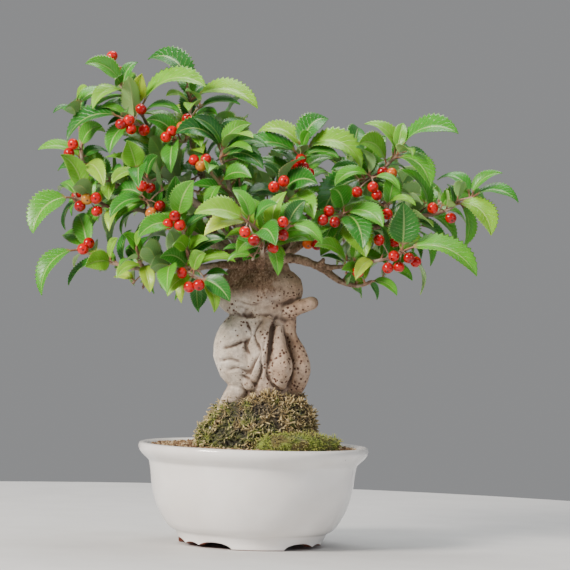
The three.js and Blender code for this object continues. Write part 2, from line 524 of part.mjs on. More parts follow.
// A bunch: each berry on a short stalk from one bud, which sits on the stem's side.
function bunch({ berries }, curve) {
  const middles = berries.map(place);
  const heart = middles.reduce((sum, one) => sum.add(one), new THREE.Vector3());
  heart.divideScalar(middles.length);
  let foot = onStem(curve, 0);
  let radius = STEM_RADII[0];
  for (let t = 0; t <= 1; t += BUD_STEP) {
    const point = onStem(curve, t);
    if (point.distanceTo(heart) > foot.distanceTo(heart)) continue;
    foot = point;
    radius = between(STEM_RADII, t);
  }
  const away = heart.clone().sub(foot).normalize();
  const bud = foot.addScaledVector(away, radius + GAP + STALK_RADIUS);
  const parts = middles.flatMap((middle) => {
    const ball = new THREE.IcosahedronGeometry(BERRY_RADIUS, 0).translate(middle.x, middle.y, middle.z);
    const stalk = new THREE.LineCurve3(bud, middle);
    return [solid(ball), stick(stalk, [STALK_RADIUS, STALK_RADIUS], 3, 1)];
  });
  return largest(joined(parts));
}

function limbSolid(name, grow = 0) {
  const { path, radii } = LIMBS[name];
  return stick(curveThrough(path.map(place)), radii, LIMB_SIDES, path.length, grow);
}

// The trunk's folds grown together; grow fattens them for cutting the trunk's seat.
function trunkSolid(grow = 0) {
  return joined(TRUNK_LOBES.map((one) => lobe(one, TRUNK_SIDES, 2, grow)));
}

// A lathed solid about +Z from [radius, height] pairs.
function turned(profile, sides = POT_SIDES) {
  const geometry = new THREE.LatheGeometry(profile.map(([r, z]) => new THREE.Vector2(r, z)), sides);
  return geometry.rotateX(Math.PI / 2);
}

const POT_FLOOR = 8;
const POT_UNDERSIDE = 3.5;
const POT_OUTSIDE = [
  [DRAIN_RADIUS, POT_UNDERSIDE], [31, POT_UNDERSIDE], [31.4, 0], [FOOT_RADIUS, 0], [36.8, 5.4],
  [42.6, 10], [47.5, 18.7], [50.6, 31], [52.3, 41], [57, 45.6], [POT_RIM_RADIUS, 48],
  [55.6, POT_HEIGHT],
];
const POT_INSIDE = [
  [52.6, 49.2], [48, 42], [45.2, 22], [37, POT_FLOOR], [DRAIN_RADIUS, POT_FLOOR],
  [DRAIN_RADIUS, POT_UNDERSIDE],
];

// The scallops of an arch: each one's turn from the arch's middle and its half width, in radians,
// and its height.
const SCALLOPS = [[0, 0.18, 2.4], [-0.41, 0.27, 3.2], [0.41, 0.27, 3.2]];
const FEET = 3;

// Three feet stand between three scalloped arches in the foot ring.
function potSolid() {
  let pot = solid(turned([...POT_OUTSIDE, ...POT_INSIDE]));
  for (let foot = 0; foot < FEET; foot++) {
    const arch = THREE.MathUtils.degToRad(FOOT_TURN + (360 * (foot + 0.5)) / FEET);
    for (const [turn, half, height] of SCALLOPS) {
      const cutter = new THREE.CylinderGeometry(1, 1, FOOT_RADIUS / 2, 6);
      cutter.scale(half * FOOT_RADIUS, 1, height);
      cutter.translate(0, -FOOT_RADIUS, 0).rotateZ(arch + turn);
      pot = pot.subtract(solid(cutter));
    }
  }
  return pot;
}

const SCREEN_HALF = 9;
const SCREEN_THICK = 0.8;
const SCREEN_BASE = POT_FLOOR + GAP;
const SCREEN_PITCH = 5;
const SCREEN_OPENING = 3.2;
function screenSolid() {
  const middle = SCREEN_BASE + SCREEN_THICK / 2;
  const box = (width, height, x, y) =>
    solid(new THREE.BoxGeometry(width, width, height).translate(x, y, middle));
  const openings = [-1, 0, 1].flatMap((i) =>
    [-1, 0, 1].map((j) => box(SCREEN_OPENING, 2 * SCREEN_THICK, i * SCREEN_PITCH, j * SCREEN_PITCH)),
  );
  return box(2 * SCREEN_HALF, SCREEN_THICK, 0, 0).subtract(joined(openings));
}

function soilSolid(trunk) {
  const over = SCREEN_BASE + SCREEN_THICK + GAP;
  const recess = SCREEN_HALF * 1.5;
  const low = POT_FLOOR + GAP;
  const soil = solid(turned([[0, over], [recess, over], [recess, low], [36.6, low], [44.8, 22.1],
    [47.6, 42.2], [51.2, SOIL_TOP], [0, SOIL_TOP]], POT_SIDES / 2));
  return largest(soil.subtract(trunk));
}

// The mound of old moss round the trunk: a dome that leans with height, raised into clumps by a
// formula.
const MOUND_MIDDLE = [1, -1];
const MOUND_HEIGHT = 28;
const MOUND_LEAN = 9; // of its top to the right
const MOUND_PROFILE = [
  [0, 0], [27, 0], [29.7, 3.5], [28.5, 9], [25.3, 15.4], [21, 21.4], [16.5, 24.5], [12.5, 26.8],
  [0, MOUND_HEIGHT],
];
const MOUND_SIDES = 16;
const CLUMP_SHARE = 0.028; // of the radius
const CLUMP_LIFT = 0.4;
function moundSolid(grow = 0) {
  const base = SOIL_TOP + GAP;
  const geometry = turned(MOUND_PROFILE.map(([r, z]) => [r, z + base]), MOUND_SIDES);
  const position = geometry.getAttribute("position");
  for (let i = 0; i < position.count; i++) {
    const [x, y, z] = [position.getX(i), position.getY(i), position.getZ(i)];
    const angle = Math.atan2(y, x);
    const clumps = Math.sin(7 * angle + 0.5 * z) + Math.sin(11 * angle - 0.9 * z) + Math.cos(1.3 * z);
    const radius = Math.hypot(x, y);
    const middle = radius < 1;
    const out = middle ? 1 : 1 + CLUMP_SHARE * clumps + grow / radius;
    const lift = z < base + 0.01 ? -grow : CLUMP_LIFT * (middle ? 0 : clumps) + grow;
    const lean = MOUND_LEAN * ((z - base) / MOUND_HEIGHT) ** 2;
    position.setXYZ(i, x * out + MOUND_MIDDLE[0] + lean, y * out + MOUND_MIDDLE[1], z + lift);
  }
  return solid(geometry);
}

// The cushion of fresh moss at the mound's right front.
const CUSHION = {
  path: [[264, 446, -34], [286, 444, -33], [312, 443, -27], [335, 443, -14]],
  radii: [4.6, 7.4, 4.8, 2],
};
function cushionSolid(trunk) {
  const floor = new THREE.BoxGeometry(2 * POT_RIM_RADIUS, 2 * POT_RIM_RADIUS, SOIL_TOP);
  floor.translate(0, 0, SOIL_TOP / 2 + GAP);
  const cushion = lobe(CUSHION, 12, 7, 0).subtract(solid(floor));
  return largest(cushion.subtract(moundSolid(GAP)).subtract(trunk));
}

// A mesh from a finished solid.
function mesh(name, made, color, roughness) {
  const { vertProperties, triVerts } = made.getMesh();
  const geometry = new THREE.BufferGeometry();
  geometry.setAttribute("position", new THREE.BufferAttribute(vertProperties, 3));
  geometry.setIndex(new THREE.BufferAttribute(triVerts, 1));
  geometry.computeVertexNormals();
  const material = new THREE.MeshStandardMaterial({ color, roughness, metalness: 0 });
  const piece = new THREE.Mesh(geometry, material);
  piece.name = name;
  return piece;
}

const plant = new THREE.Group();
plant.position.set(...POT_PLACE);

const cutTrunk = trunkSolid(GAP);
plant.add(mesh("pot", potSolid(), 0xece8e2, 0.25));
plant.add(mesh("drain_screen", screenSolid(), 0x2c2c2c, 0.7));
plant.add(mesh("soil", soilSolid(cutTrunk), 0x7a6450, 1));
plant.add(mesh("moss_mound", largest(moundSolid().subtract(cutTrunk)), 0x7b7242, 1));
plant.add(mesh("moss_cushion", cushionSolid(cutTrunk), 0x7d8c22, 1));

const trunkLobes = trunkSolid();
put(trunkLobes, "trunk");
const limbs = Object.keys(LIMBS).map((name) => limbSolid(name));
limbs.forEach((made) => put(made, "limbs"));
plant.add(mesh("trunk", largest(joined([trunkLobes, ...limbs])), 0xa99c8b, 0.85));

// Stems and berries come first, so that every leaf keeps clear of them.
const sprays = SPRAYS.map((spec) => {
  const curve = stemCurve(spec);
  const stem = stemSolid(curve);
  put(stem, spec.name);
  const fruit = spec.berries ? bunch(spec, curve) : null;
  if (fruit) put(fruit, "berries_" + spec.name);
  return { spec, curve, stem, fruit };
});

sprays.forEach(({ spec, curve, stem, fruit }, number) => {
  const draw = draws(SEED + number);
  const shown = (spec.leaves ?? []).map(({ at, tip, face, wide, arch }) => {
    return { base: onStem(curve, at), tip: place(tip), face, wide, arch, towards: TOWARDS_EYE };
  });
  const wanted = [...shown, ...fillLeaves(curve, spec.fill, draw)];
  const leaves = wanted.map((one) => clearLeaf(spec.name, one)).filter((one) => one);
  const spray = joined([stem, ...leaves]).subtract(limbSolid(spec.limb, GAP));
  plant.add(mesh("spray_" + spec.name, largest(spray), 0x4f8a2b, 0.6));
  if (fruit) plant.add(mesh("berries_" + spec.name, fruit, 0xd1141c, 0.3));
});

export default plant;
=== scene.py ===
"""A Japanese winterberry bonsai in a round white pot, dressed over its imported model.

Sizes are millimetres from the middle of the pot's foot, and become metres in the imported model's
frame where a mesh is made.
"""
import math

import bpy
import numpy as np
from mathutils import Matrix, Vector, kdtree, noise


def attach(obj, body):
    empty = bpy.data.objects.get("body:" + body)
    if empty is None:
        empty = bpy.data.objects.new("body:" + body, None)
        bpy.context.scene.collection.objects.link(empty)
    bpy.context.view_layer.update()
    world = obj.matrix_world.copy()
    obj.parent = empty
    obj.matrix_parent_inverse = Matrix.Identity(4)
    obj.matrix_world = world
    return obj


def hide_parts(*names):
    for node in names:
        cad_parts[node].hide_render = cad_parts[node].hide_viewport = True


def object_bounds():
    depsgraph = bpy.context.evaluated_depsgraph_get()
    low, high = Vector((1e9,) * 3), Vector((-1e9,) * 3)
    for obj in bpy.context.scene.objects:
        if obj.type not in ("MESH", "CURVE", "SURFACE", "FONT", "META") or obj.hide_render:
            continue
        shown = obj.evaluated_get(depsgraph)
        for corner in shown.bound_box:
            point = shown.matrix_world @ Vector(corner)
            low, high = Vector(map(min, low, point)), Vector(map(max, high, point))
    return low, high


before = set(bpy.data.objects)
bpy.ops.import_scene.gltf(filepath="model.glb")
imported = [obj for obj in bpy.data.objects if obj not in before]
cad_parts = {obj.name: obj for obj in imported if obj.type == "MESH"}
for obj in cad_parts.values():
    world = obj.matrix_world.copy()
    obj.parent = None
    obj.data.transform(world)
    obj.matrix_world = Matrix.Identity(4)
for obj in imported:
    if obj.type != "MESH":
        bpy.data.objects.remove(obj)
cad_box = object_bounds()

# The pot and what fills it.
MM = 0.001
POT_PLACE = np.array([-6.7, -8.2, 0.0])  # the pot's axis, from the frame's origin
POT_SIDES = 180
FOOT_TURN = 6.8  # degrees from the front to the middle of the first foot
FEET = 3
SOIL_TOP = 48.0
GAP = 0.32

# The reference picture: one pixel is half a millimetre at the pot's axis.
PICTURE_SIZE = 570
MM_PER_PIXEL = 0.5
PICTURE_FOOT = (250.5, 544.0)  # where the middle of the pot's foot stands in it
PICTURE_ROLL = math.radians(1.8)
EYE = np.array([13.0, -1300.0, 120.0])
AIM = np.array([13.2, 0.0, 130.0])
TOWARDS_EYE = np.array([0.0, -1.0, 0.0])
UP = np.array([0.0, 0.0, 1.0])
CROWN_MIDDLE = np.array([12.0, 4.0, 155.0])

# Leaves, stems and berries.
SEED = 7
LEAF_WIDTH = 0.4  # of the leaf's length
LEAF_THICK = 0.62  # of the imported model's blades
STALK_SHARE = 0.14  # of the leaf's length
LEAF_SUNK = 0.12
OUTWARD_LEAN = 0.12
STEM_RADII = (0.9, 0.6)
FOOT_STEP = 0.05  # of a stem, between the places where a bunch may start
BERRY_RADIUS = 2.85
TIP_MATCH = 0.15  # how close a blade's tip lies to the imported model's, where it is the same blade
LEAF_TEETH = 17  # on each side
TOOTH_DEPTH = 0.1  # of the half width


def unit(vector):
    """The vector at length 1."""
    return vector / np.linalg.norm(vector)


def place(spot):
    """Pixels across and down the picture, with the depth in millimetres, minus towards the eye."""
    across, down, depth = spot
    right = across - PICTURE_FOOT[0]
    high = PICTURE_FOOT[1] - down
    x = MM_PER_PIXEL * (right * math.cos(PICTURE_ROLL) - high * math.sin(PICTURE_ROLL))
    z = MM_PER_PIXEL * (right * math.sin(PICTURE_ROLL) + high * math.cos(PICTURE_ROLL))
    spread = (depth - EYE[1]) / -EYE[1]
    return np.array([EYE[0] + (x - EYE[0]) * spread, depth, EYE[2] + (z - EYE[2]) * spread])


def route(path):
    """The places of a path's points in the picture."""
    return [place(spot) for spot in path]


def draws(seed):
    """A row of seeded draws between 0 and 1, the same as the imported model's."""
    full = 0xFFFFFFFF
    state = seed & full
    while True:
        state = (state + 0x6D2B79F5) & full
        t = ((state ^ (state >> 15)) * (state | 1)) & full
        t = (t + (((t ^ (t >> 7)) * (t | 61)) & full)) & full ^ t
        yield ((t ^ (t >> 14)) & full) / 4294967296


def linear(code):
    """A linear colour from an sRGB hex value."""
    shares = [int(code[i:i + 2], 16) / 255 for i in (1, 3, 5)]
    flat = [s / 12.92 if s <= 0.04045 else ((s + 0.055) / 1.055) ** 2.4 for s in shares]
    return (*flat, 1.0)


def add(tree, kind, inputs=None, **settings):
    """Adds a node. inputs gives values, nodes or sockets by the name or number of an input."""
    node = tree.nodes.new(kind)
    for name, value in settings.items():
        setattr(node, name, value)
    for key, value in (inputs or {}).items():
        if isinstance(value, bpy.types.Node):
            value = value.outputs[0]
        if isinstance(value, bpy.types.NodeSocket):
            tree.links.new(value, node.inputs[key])
        else:
            node.inputs[key].default_value = value
    return node


# Materials


def new_material(name, **sockets):
    """A material with its principled shader set, its tree and the object's coordinates."""
    material = bpy.data.materials.new(name)
    material.use_nodes = True
    shader = material.node_tree.nodes["Principled BSDF"]
    for key, value in sockets.items():
        shader.inputs[key.replace("_", " ")].default_value = value
    coords = add(material.node_tree, "ShaderNodeTexCoord").outputs["Object"]
    return material, material.node_tree, shader, coords


def dress(tree, shader, colour, height, strength, relief):
    """Gives a material its colour, and a bump from its height, relief millimetres high."""
    bump = add(tree, "ShaderNodeBump",
               {"Strength": strength, "Distance": relief * MM, "Height": height})
    tree.links.new(colour, shader.inputs["Base Color"])
    tree.links.new(bump.outputs[0], shader.inputs["Normal"])


def graded(ramp, stops):
    """The colour ramp with (place, hex colour) stops, eased from one to the next."""
    ramp.color_ramp.interpolation = "EASE"
    elements = ramp.color_ramp.elements
    while len(elements) < len(stops):
        elements.new(0.5)
    for element, (spot, code) in zip(elements, stops):
        element.position = spot
        element.color = linear(code)
    return ramp


def shaded(tree, colour, pattern, least, most, start=0.3):
    """The colour, darker where a noise pattern is low and lighter where it is high."""
    shade = add(tree, "ShaderNodeMapRange", {0: pattern, 1: start, 2: 0.7, 3: least, 4: most})
    return add(tree, "ShaderNodeMix", {0: 1.0, 6: colour.outputs[0], 7: shade.outputs[0]},
               data_type="RGBA", blend_type="MULTIPLY").outputs[2]


def glazed_porcelain():
    """White glaze on stoneware, dipped and fired: a wet shine, faint warm drifts, iron specks."""
    material, tree, shader, coords = new_material("glazed_porcelain", Roughness=0.16, IOR=1.5,
                                                  Coat_Weight=0.35, Coat_Roughness=0.06)
    drift = add(tree, "ShaderNodeTexNoise",
                {"Vector": coords, "Scale": 1 / (26 * MM), "Detail": 3})
    body = graded(add(tree, "ShaderNodeValToRGB", {0: drift}),
                  [(0.35, "#f6f3f0"), (0.65, "#ede9e5")])
    cells = add(tree, "ShaderNodeTexVoronoi", {"Vector": coords, "Scale": 1 / (15 * MM)})
    speck = add(tree, "ShaderNodeMapRange",
                {0: cells.outputs["Distance"], 1: 0.018, 2: 0.03, 3: 0.55, 4: 0.0})
    colour = add(tree, "ShaderNodeMix", {0: speck, 6: body.outputs[0], 7: linear("#6f5a48")},
                 data_type="RGBA").outputs[2]
    ripple = add(tree, "ShaderNodeTexNoise",
                 {"Vector": coords, "Scale": 1 / (9 * MM), "Detail": 2})
    dress(tree, shader, colour, ripple, 0.05, 1)
    return material


def grained(name, roughness, size, fineness, stops, strength, relief):
    """A material of one colour that its grain, size millimetres across, varies and roughens."""
    material, tree, shader, coords = new_material(name, Roughness=roughness)
    grain = add(tree, "ShaderNodeTexNoise",
                {"Vector": coords, "Scale": 1 / (size * MM), **fineness})
    body = graded(add(tree, "ShaderNodeValToRGB", {0: grain}), stops)
    dress(tree, shader, body.outputs[0], grain, strength, relief)
    return material


def fired_clay():
    """Unglazed red stoneware under the foot: dull, fine grained, a little scorched."""
    return grained("fired_clay", 0.82, 2.2, {"Detail": 5, "Roughness": 0.65},
                   [(0.3, "#6b3626"), (0.7, "#a2604a")], 0.4, 0.3)


def moulded_plastic():
    """Black polyethylene of the drainage screen, injection moulded: a soft satin."""
    return grained("moulded_polyethylene", 0.5, 0.8, {"Detail": 2},
                   [(0.3, "#17181a"), (0.7, "#2a2b2e")], 0.2, 0.2)


def baked_clay_soil():
    """Potting soil of crushed baked clay: dull crumbs, from straw to red brown."""
    material, tree, shader, coords = new_material("baked_clay_soil", Roughness=0.95)
    tone = add(tree, "ShaderNodeAttribute", attribute_name="tone").outputs["Fac"]
    body = graded(add(tree, "ShaderNodeValToRGB", {0: tone}),
                  [(0.0, "#4d382a"), (0.35, "#86694c"), (0.7, "#a58a68"), (1.0, "#c2ae8e")])
    grain = add(tree, "ShaderNodeTexNoise",
                {"Vector": coords, "Scale": 1 / (0.7 * MM), "Detail": 4, "Roughness": 0.6})
    dress(tree, shader, shaded(tree, body, grain, 0.72, 1.12), grain, 0.6, 0.3)
    return material


# The colours of moss: the painted shade in its gaps and at the foot of its shoots, its dull and its
# fresh shoots and their tips, and how damp it has to be to turn fresh.
OLD_MOSS = {"under": "#1c160c", "dull": "#86703f", "fresh": "#707a1f", "tip": "#d6c08c", "damp": 0.54}
FRESH_MOSS = {"under": "#242a0e", "dull": "#7a6c34", "fresh": "#82922a", "tip": "#b9bd55",
              "damp": 0.5}


def moss(name, look):
    """Living moss: matt shoots, painted in shade at the foot and in the gaps, paler to their tips,
    greener in patches.
    """
    material, tree, shader, coords = new_material(name, Roughness=0.9, Sheen_Weight=0.25,
                                                  Sheen_Roughness=0.6)
    rise, tone, damp, lit = (add(tree, "ShaderNodeAttribute", attribute_name=label).outputs["Fac"]
                             for label in ("rise", "tone", "damp", "open"))
    patches = add(tree, "ShaderNodeTexNoise",
                  {"Vector": coords, "Scale": 1 / (7 * MM), "Detail": 2})
    wetter = add(tree, "ShaderNodeMath", {0: damp, 1: 0.3, 2: patches}, operation="MULTIPLY_ADD")
    patch = add(tree, "ShaderNodeMapRange", {0: wetter, 1: look["damp"], 2: 0.66})
    shoot = add(tree, "ShaderNodeMix",
                {0: patch.outputs[0], 6: linear(look["dull"]), 7: linear(look["fresh"])},
                data_type="RGBA").outputs[2]
    pale = add(tree, "ShaderNodeMix", {0: tone, 6: shoot, 7: linear(look["tip"])},
               data_type="RGBA").outputs[2]
    risen = add(tree, "ShaderNodeMapRange", {0: rise, 1: 0.45, 2: 1.0})
    body = add(tree, "ShaderNodeMix", {0: risen.outputs[0], 6: shoot, 7: pale},
               data_type="RGBA").outputs[2]
    # Painted shade: the shoots turn to the dark under colour at their foot and where the clumps thin to
    # gaps.
    foot = add(tree, "ShaderNodeMapRange", {0: rise, 1: 0.0, 2: 0.4, 3: 1.0, 4: 0.0})
    gap_shade = add(tree, "ShaderNodeMapRange", {0: lit, 1: 0.0, 2: 0.42, 3: 0.92, 4: 0.0})
    dark = add(tree, "ShaderNodeMath", {0: foot, 1: gap_shade}, operation="MAXIMUM")
    colour = add(tree, "ShaderNodeMix", {0: dark, 6: body, 7: linear(look["under"])},
                 data_type="RGBA").outputs[2]
    tree.links.new(colour, shader.inputs["Base Color"])
    return material


def old_bark():
    """Winterberry bark: pale, smooth and matt, with dark pores, worn brown and cracked by the crown."""
    material, tree, shader, coords = new_material("winterberry_bark", Roughness=0.78)
    hollow_shade, rough, algae = (add(tree, "ShaderNodeAttribute", attribute_name=label).outputs["Fac"]
                            for label in ("hollow_shade", "rough", "algae"))
    bleach = add(tree, "ShaderNodeTexNoise",
                 {"Vector": coords, "Scale": 1 / (16 * MM), "Detail": 3})
    fresh = graded(add(tree, "ShaderNodeValToRGB", {0: bleach}),
                   [(0.34, "#b5a28f"), (0.5, "#d3c6b6"), (0.64, "#ece4d8")])
    grain = add(tree, "ShaderNodeTexNoise",
                {"Vector": coords, "Scale": 1 / (1.6 * MM), "Detail": 5, "Roughness": 0.65})
    fine = shaded(tree, fresh, grain, 0.68, 1.1, 0.32)
    # The trunk is paler on its left and warmer and darker on its right: partly its own rosy brown,
    # partly painted shade on the side turned from the key light.
    right = add(tree, "ShaderNodeSeparateXYZ", {0: coords})
    toward_right = add(tree, "ShaderNodeMapRange", {0: right, 1: -18 * MM, 2: 12 * MM, 3: 0.0, 4: 0.85})
    tinted = add(tree, "ShaderNodeMix", {0: toward_right, 6: fine, 7: linear("#d8b9a2")},
                 data_type="RGBA", blend_type="MULTIPLY").outputs[2]
    # Painted shade: the bark turns dark brown in its hollows and creases.
    deep = add(tree, "ShaderNodeMix", {0: hollow_shade, 6: tinted, 7: linear("#4f3a2c")},
               data_type="RGBA").outputs[2]
    # Pores some 2 mm apart, which crowd in places and are larger there.
    ragged = add(tree, "ShaderNodeTexNoise",
                 {"Vector": coords, "Scale": 1 / (0.9 * MM), "Detail": 2}).outputs["Color"]
    strayed = add(tree, "ShaderNodeVectorMath", {0: ragged, 1: (0.9 * MM,) * 3, 2: coords},
                  operation="MULTIPLY_ADD")
    cells = add(tree, "ShaderNodeTexVoronoi", {"Vector": strayed, "Scale": 1 / (2.0 * MM)})
    patches = add(tree, "ShaderNodeTexNoise",
                  {"Vector": coords, "Scale": 1 / (7 * MM), "Detail": 2})
    crowd = add(tree, "ShaderNodeMath", {0: toward_right, 1: 0.13, 2: patches}, operation="MULTIPLY_ADD")
    edge = add(tree, "ShaderNodeMapRange", {0: crowd, 1: 0.44, 2: 0.64, 3: 0.09, 4: 0.4})
    core = add(tree, "ShaderNodeMath", {0: edge, 1: 0.6}, operation="MULTIPLY")
    pore = add(tree, "ShaderNodeMapRange",
               {0: cells.outputs["Distance"], 1: core, 2: edge, 3: 1.0, 4: 0.0})
    pored = add(tree, "ShaderNodeMix", {0: pore.outputs[0], 6: deep, 7: linear("#573626")},
                data_type="RGBA").outputs[2]
    # Cracks about a millimetre apart that run up the head.
    flow = add(tree, "ShaderNodeMapping", {"Vector": coords, "Scale": (1.0, 1.0, 0.5),
                                           "Rotation": (0.0, 0.5, 0.0)})
    crack = add(tree, "ShaderNodeTexNoise",
                {"Vector": flow, "Scale": 1 / (1.3 * MM), "Detail": 5, "Roughness": 0.72})
    worn = graded(add(tree, "ShaderNodeValToRGB", {0: crack}),
                  [(0.34, "#46301f"), (0.5, "#7d6049"), (0.66, "#aa917a")])
    surface = add(tree, "ShaderNodeMix", {0: rough, 6: pored, 7: worn.outputs[0]},
                  data_type="RGBA").outputs[2]
    colour = add(tree, "ShaderNodeMix", {0: algae, 6: surface, 7: linear("#6f7350")},
                 data_type="RGBA").outputs[2]
    crease = add(tree, "ShaderNodeMapping", {"Vector": coords, "Scale": (0.5, 0.5, 1.5),
                                             "Rotation": (0.3, 0.4, 0.0)})
    wrinkle = add(tree, "ShaderNodeTexNoise",
                  {"Vector": crease, "Scale": 1 / (2.4 * MM), "Detail": 4, "Roughness": 0.6})
    skin = add(tree, "ShaderNodeMath", {0: wrinkle, 1: 1.4, 2: grain}, operation="MULTIPLY_ADD")
    height = add(tree, "ShaderNodeMath", {0: crack, 1: rough, 2: skin}, operation="MULTIPLY_ADD")
    pitted = add(tree, "ShaderNodeMath", {0: height, 1: pore}, operation="SUBTRACT")
    dress(tree, shader, colour, pitted, 0.8, 0.5)
    return material


def twig_bark():
    """Young winterberry twigs: thin red brown skin with a grey bloom and small pale pores."""
    material, tree, shader, coords = new_material("twig_bark", Roughness=0.6)
    drift = add(tree, "ShaderNodeTexNoise", {"Vector": coords, "Scale": 1 / (7 * MM), "Detail": 3})
    skin = graded(add(tree, "ShaderNodeValToRGB", {0: drift}),
                  [(0.36, "#6c4a3a"), (0.5, "#97755f"), (0.64, "#b09d8a")])
    cells = add(tree, "ShaderNodeTexVoronoi", {"Vector": coords, "Scale": 1 / (1.3 * MM)})
    pore = add(tree, "ShaderNodeMapRange",
               {0: cells.outputs["Distance"], 1: 0.12, 2: 0.2, 3: 0.7, 4: 0.0})
    colour = add(tree, "ShaderNodeMix",
                 {0: pore.outputs[0], 6: skin.outputs[0], 7: linear("#c9b8a4")},
                 data_type="RGBA").outputs[2]
    dress(tree, shader, colour, drift, 0.4, 0.2)
    return material


def leaf_blade():
    """Winterberry leaves: a waxy green upper side with sunk veins, and a pale dull under side."""
    material, tree, shader, coords = new_material("winterberry_leaf", Roughness=0.34, IOR=1.46,
                                                  Subsurface_Weight=0.12,
                                                  Subsurface_Scale=0.6 * MM)
    reads = {name: add(tree, "ShaderNodeAttribute", attribute_name=name).outputs["Fac"]
             for name in ("along", "across", "upper", "tone")}
    spread = add(tree, "ShaderNodeMath", {0: reads["across"]}, operation="ABSOLUTE")
    young = graded(add(tree, "ShaderNodeValToRGB", {0: reads["tone"]}),
                   [(0.0, "#1d641c"), (0.25, "#33851f"), (0.5, "#55a322"), (0.78, "#80b82a"),
                    (1.0, "#b0cc38")])
    cloud = add(tree, "ShaderNodeTexNoise", {"Vector": coords, "Scale": 1 / (5 * MM), "Detail": 3})
    upper = shaded(tree, young, cloud, 0.84, 1.12)
    lower = add(tree, "ShaderNodeMix", {0: 0.55, 6: young.outputs[0], 7: linear("#a5c48a")},
                data_type="RGBA").outputs[2]
    side = add(tree, "ShaderNodeMapRange", {0: reads["upper"], 1: -0.1, 2: 0.1})
    face = add(tree, "ShaderNodeMix", {0: side.outputs[0], 6: lower, 7: upper},
               data_type="RGBA").outputs[2]
    # Side veins leave the midrib every 1.8 mm and sweep forward.
    sweep = add(tree, "ShaderNodeMath", {0: spread, 1: -0.16, 2: reads["along"]},
                operation="MULTIPLY_ADD")
    turns = add(tree, "ShaderNodeMath", {0: sweep, 1: 2 * math.pi * 13}, operation="MULTIPLY")
    wave = add(tree, "ShaderNodeMath", {0: turns}, operation="SINE")
    vein = add(tree, "ShaderNodeMapRange", {0: wave, 1: 0.8, 2: 1.0})
    fade = add(tree, "ShaderNodeMapRange", {0: spread, 1: 0.55, 2: 0.95, 3: 1.0, 4: 0.0})
    drawn = add(tree, "ShaderNodeMath", {0: vein, 1: fade}, operation="MULTIPLY")
    rib = add(tree, "ShaderNodeMapRange", {0: spread, 1: 0.03, 2: 0.085, 3: 1.0, 4: 0.0})
    net = add(tree, "ShaderNodeMath", {0: drawn, 1: rib}, operation="MAXIMUM")
    faint = add(tree, "ShaderNodeMath", {0: drawn, 1: 0.16}, operation="MULTIPLY")
    clear = add(tree, "ShaderNodeMath", {0: rib, 1: 0.5}, operation="MULTIPLY")
    rim = add(tree, "ShaderNodeMapRange", {0: spread, 1: 0.93, 2: 0.99, 3: 0.0, 4: 0.4})
    lines = add(tree, "ShaderNodeMath", {0: faint, 1: clear}, operation="MAXIMUM")
    pales = add(tree, "ShaderNodeMath", {0: lines, 1: rim}, operation="MAXIMUM")
    paled = add(tree, "ShaderNodeMix", {0: pales, 6: face, 7: linear("#bcd67e")},
                data_type="RGBA").outputs[2]
    # The stalk is a dull red brown that ends in the blade's midrib.
    stalk = add(tree, "ShaderNodeMapRange",
                {0: reads["along"], 1: STALK_SHARE, 2: STALK_SHARE + 0.07, 3: 1.0, 4: 0.0})
    colour = add(tree, "ShaderNodeMix", {0: stalk.outputs[0], 6: paled, 7: linear("#a3735a")},
                 data_type="RGBA").outputs[2]
    tree.links.new(colour, shader.inputs["Base Color"])
    bump = add(tree, "ShaderNodeBump", {"Strength": 0.5, "Distance": 0.25 * MM, "Height": net},
               invert=True)
    tree.links.new(bump.outputs[0], shader.inputs["Normal"])
    return material


def berry_skin():
    """Ripe winterberry fruit: a thin glossy skin, mostly scarlet, some still orange or olive."""
    material, tree, shader, coords = new_material("winterberry_skin", Roughness=0.2, IOR=1.45,
                                                  Coat_Weight=0.25, Coat_Roughness=0.08,
                                                  Subsurface_Weight=0.08, Subsurface_Scale=MM)
    tone, pole = (add(tree, "ShaderNodeAttribute", attribute_name=label).outputs["Fac"]
                  for label in ("tone", "pole"))
    ripe = graded(add(tree, "ShaderNodeValToRGB", {0: tone}),
                  [(0.0, "#9c0308"), (0.5, "#d2060c"), (0.72, "#e0180c"), (0.84, "#e8641a"),
                   (1.0, "#8f8b2c")])
    blush = add(tree, "ShaderNodeTexNoise", {"Vector": coords, "Scale": 1 / (3 * MM), "Detail": 2})
    skin = shaded(tree, ripe, blush, 0.86, 1.1)
    scar = add(tree, "ShaderNodeMapRange", {0: pole, 1: 0.972, 2: 0.99})
    colour = add(tree, "ShaderNodeMix", {0: scar.outputs[0], 6: skin, 7: linear("#2c1611")},
                 data_type="RGBA").outputs[2]
    tree.links.new(colour, shader.inputs["Base Color"])
    return material


# Meshes


def new_mesh(name, points, faces=(), edges=(), values=None):
    """A mesh in the frame's metres from millimetres, with its values by point as attributes."""
    mesh = bpy.data.meshes.new(name)
    placed = (np.asarray(points, dtype=float) + POT_PLACE) * MM
    mesh.from_pydata(placed.tolist(), [tuple(e) for e in edges], [tuple(f) for f in faces])
    for label, row in (values or {}).items():
        row = np.asarray(row, dtype=np.float32)
        vector = row.ndim == 2
        layer = mesh.attributes.new(label, "FLOAT_VECTOR" if vector else "FLOAT", "POINT")
        layer.data.foreach_set("vector" if vector else "value", row.ravel())
    mesh.update()
    return mesh


def new_piece(name, data):
    """An object at the origin that holds a mesh, a lamp or a lens."""
    piece = bpy.data.objects.new(name, data)
    bpy.context.scene.collection.objects.link(piece)
    return piece


def bake_modifiers(piece):
    """The piece's mesh as its modifiers leave it, and no modifier."""
    graph = bpy.context.evaluated_depsgraph_get()
    mesh = bpy.data.meshes.new_from_object(piece.evaluated_get(graph))
    piece.modifiers.clear()
    piece.data = mesh
    return piece


def points_of(mesh):
    """The mesh's corners as an array."""
    flat = np.empty(3 * len(mesh.vertices))
    mesh.vertices.foreach_get("co", flat)
    return flat.reshape(-1, 3)


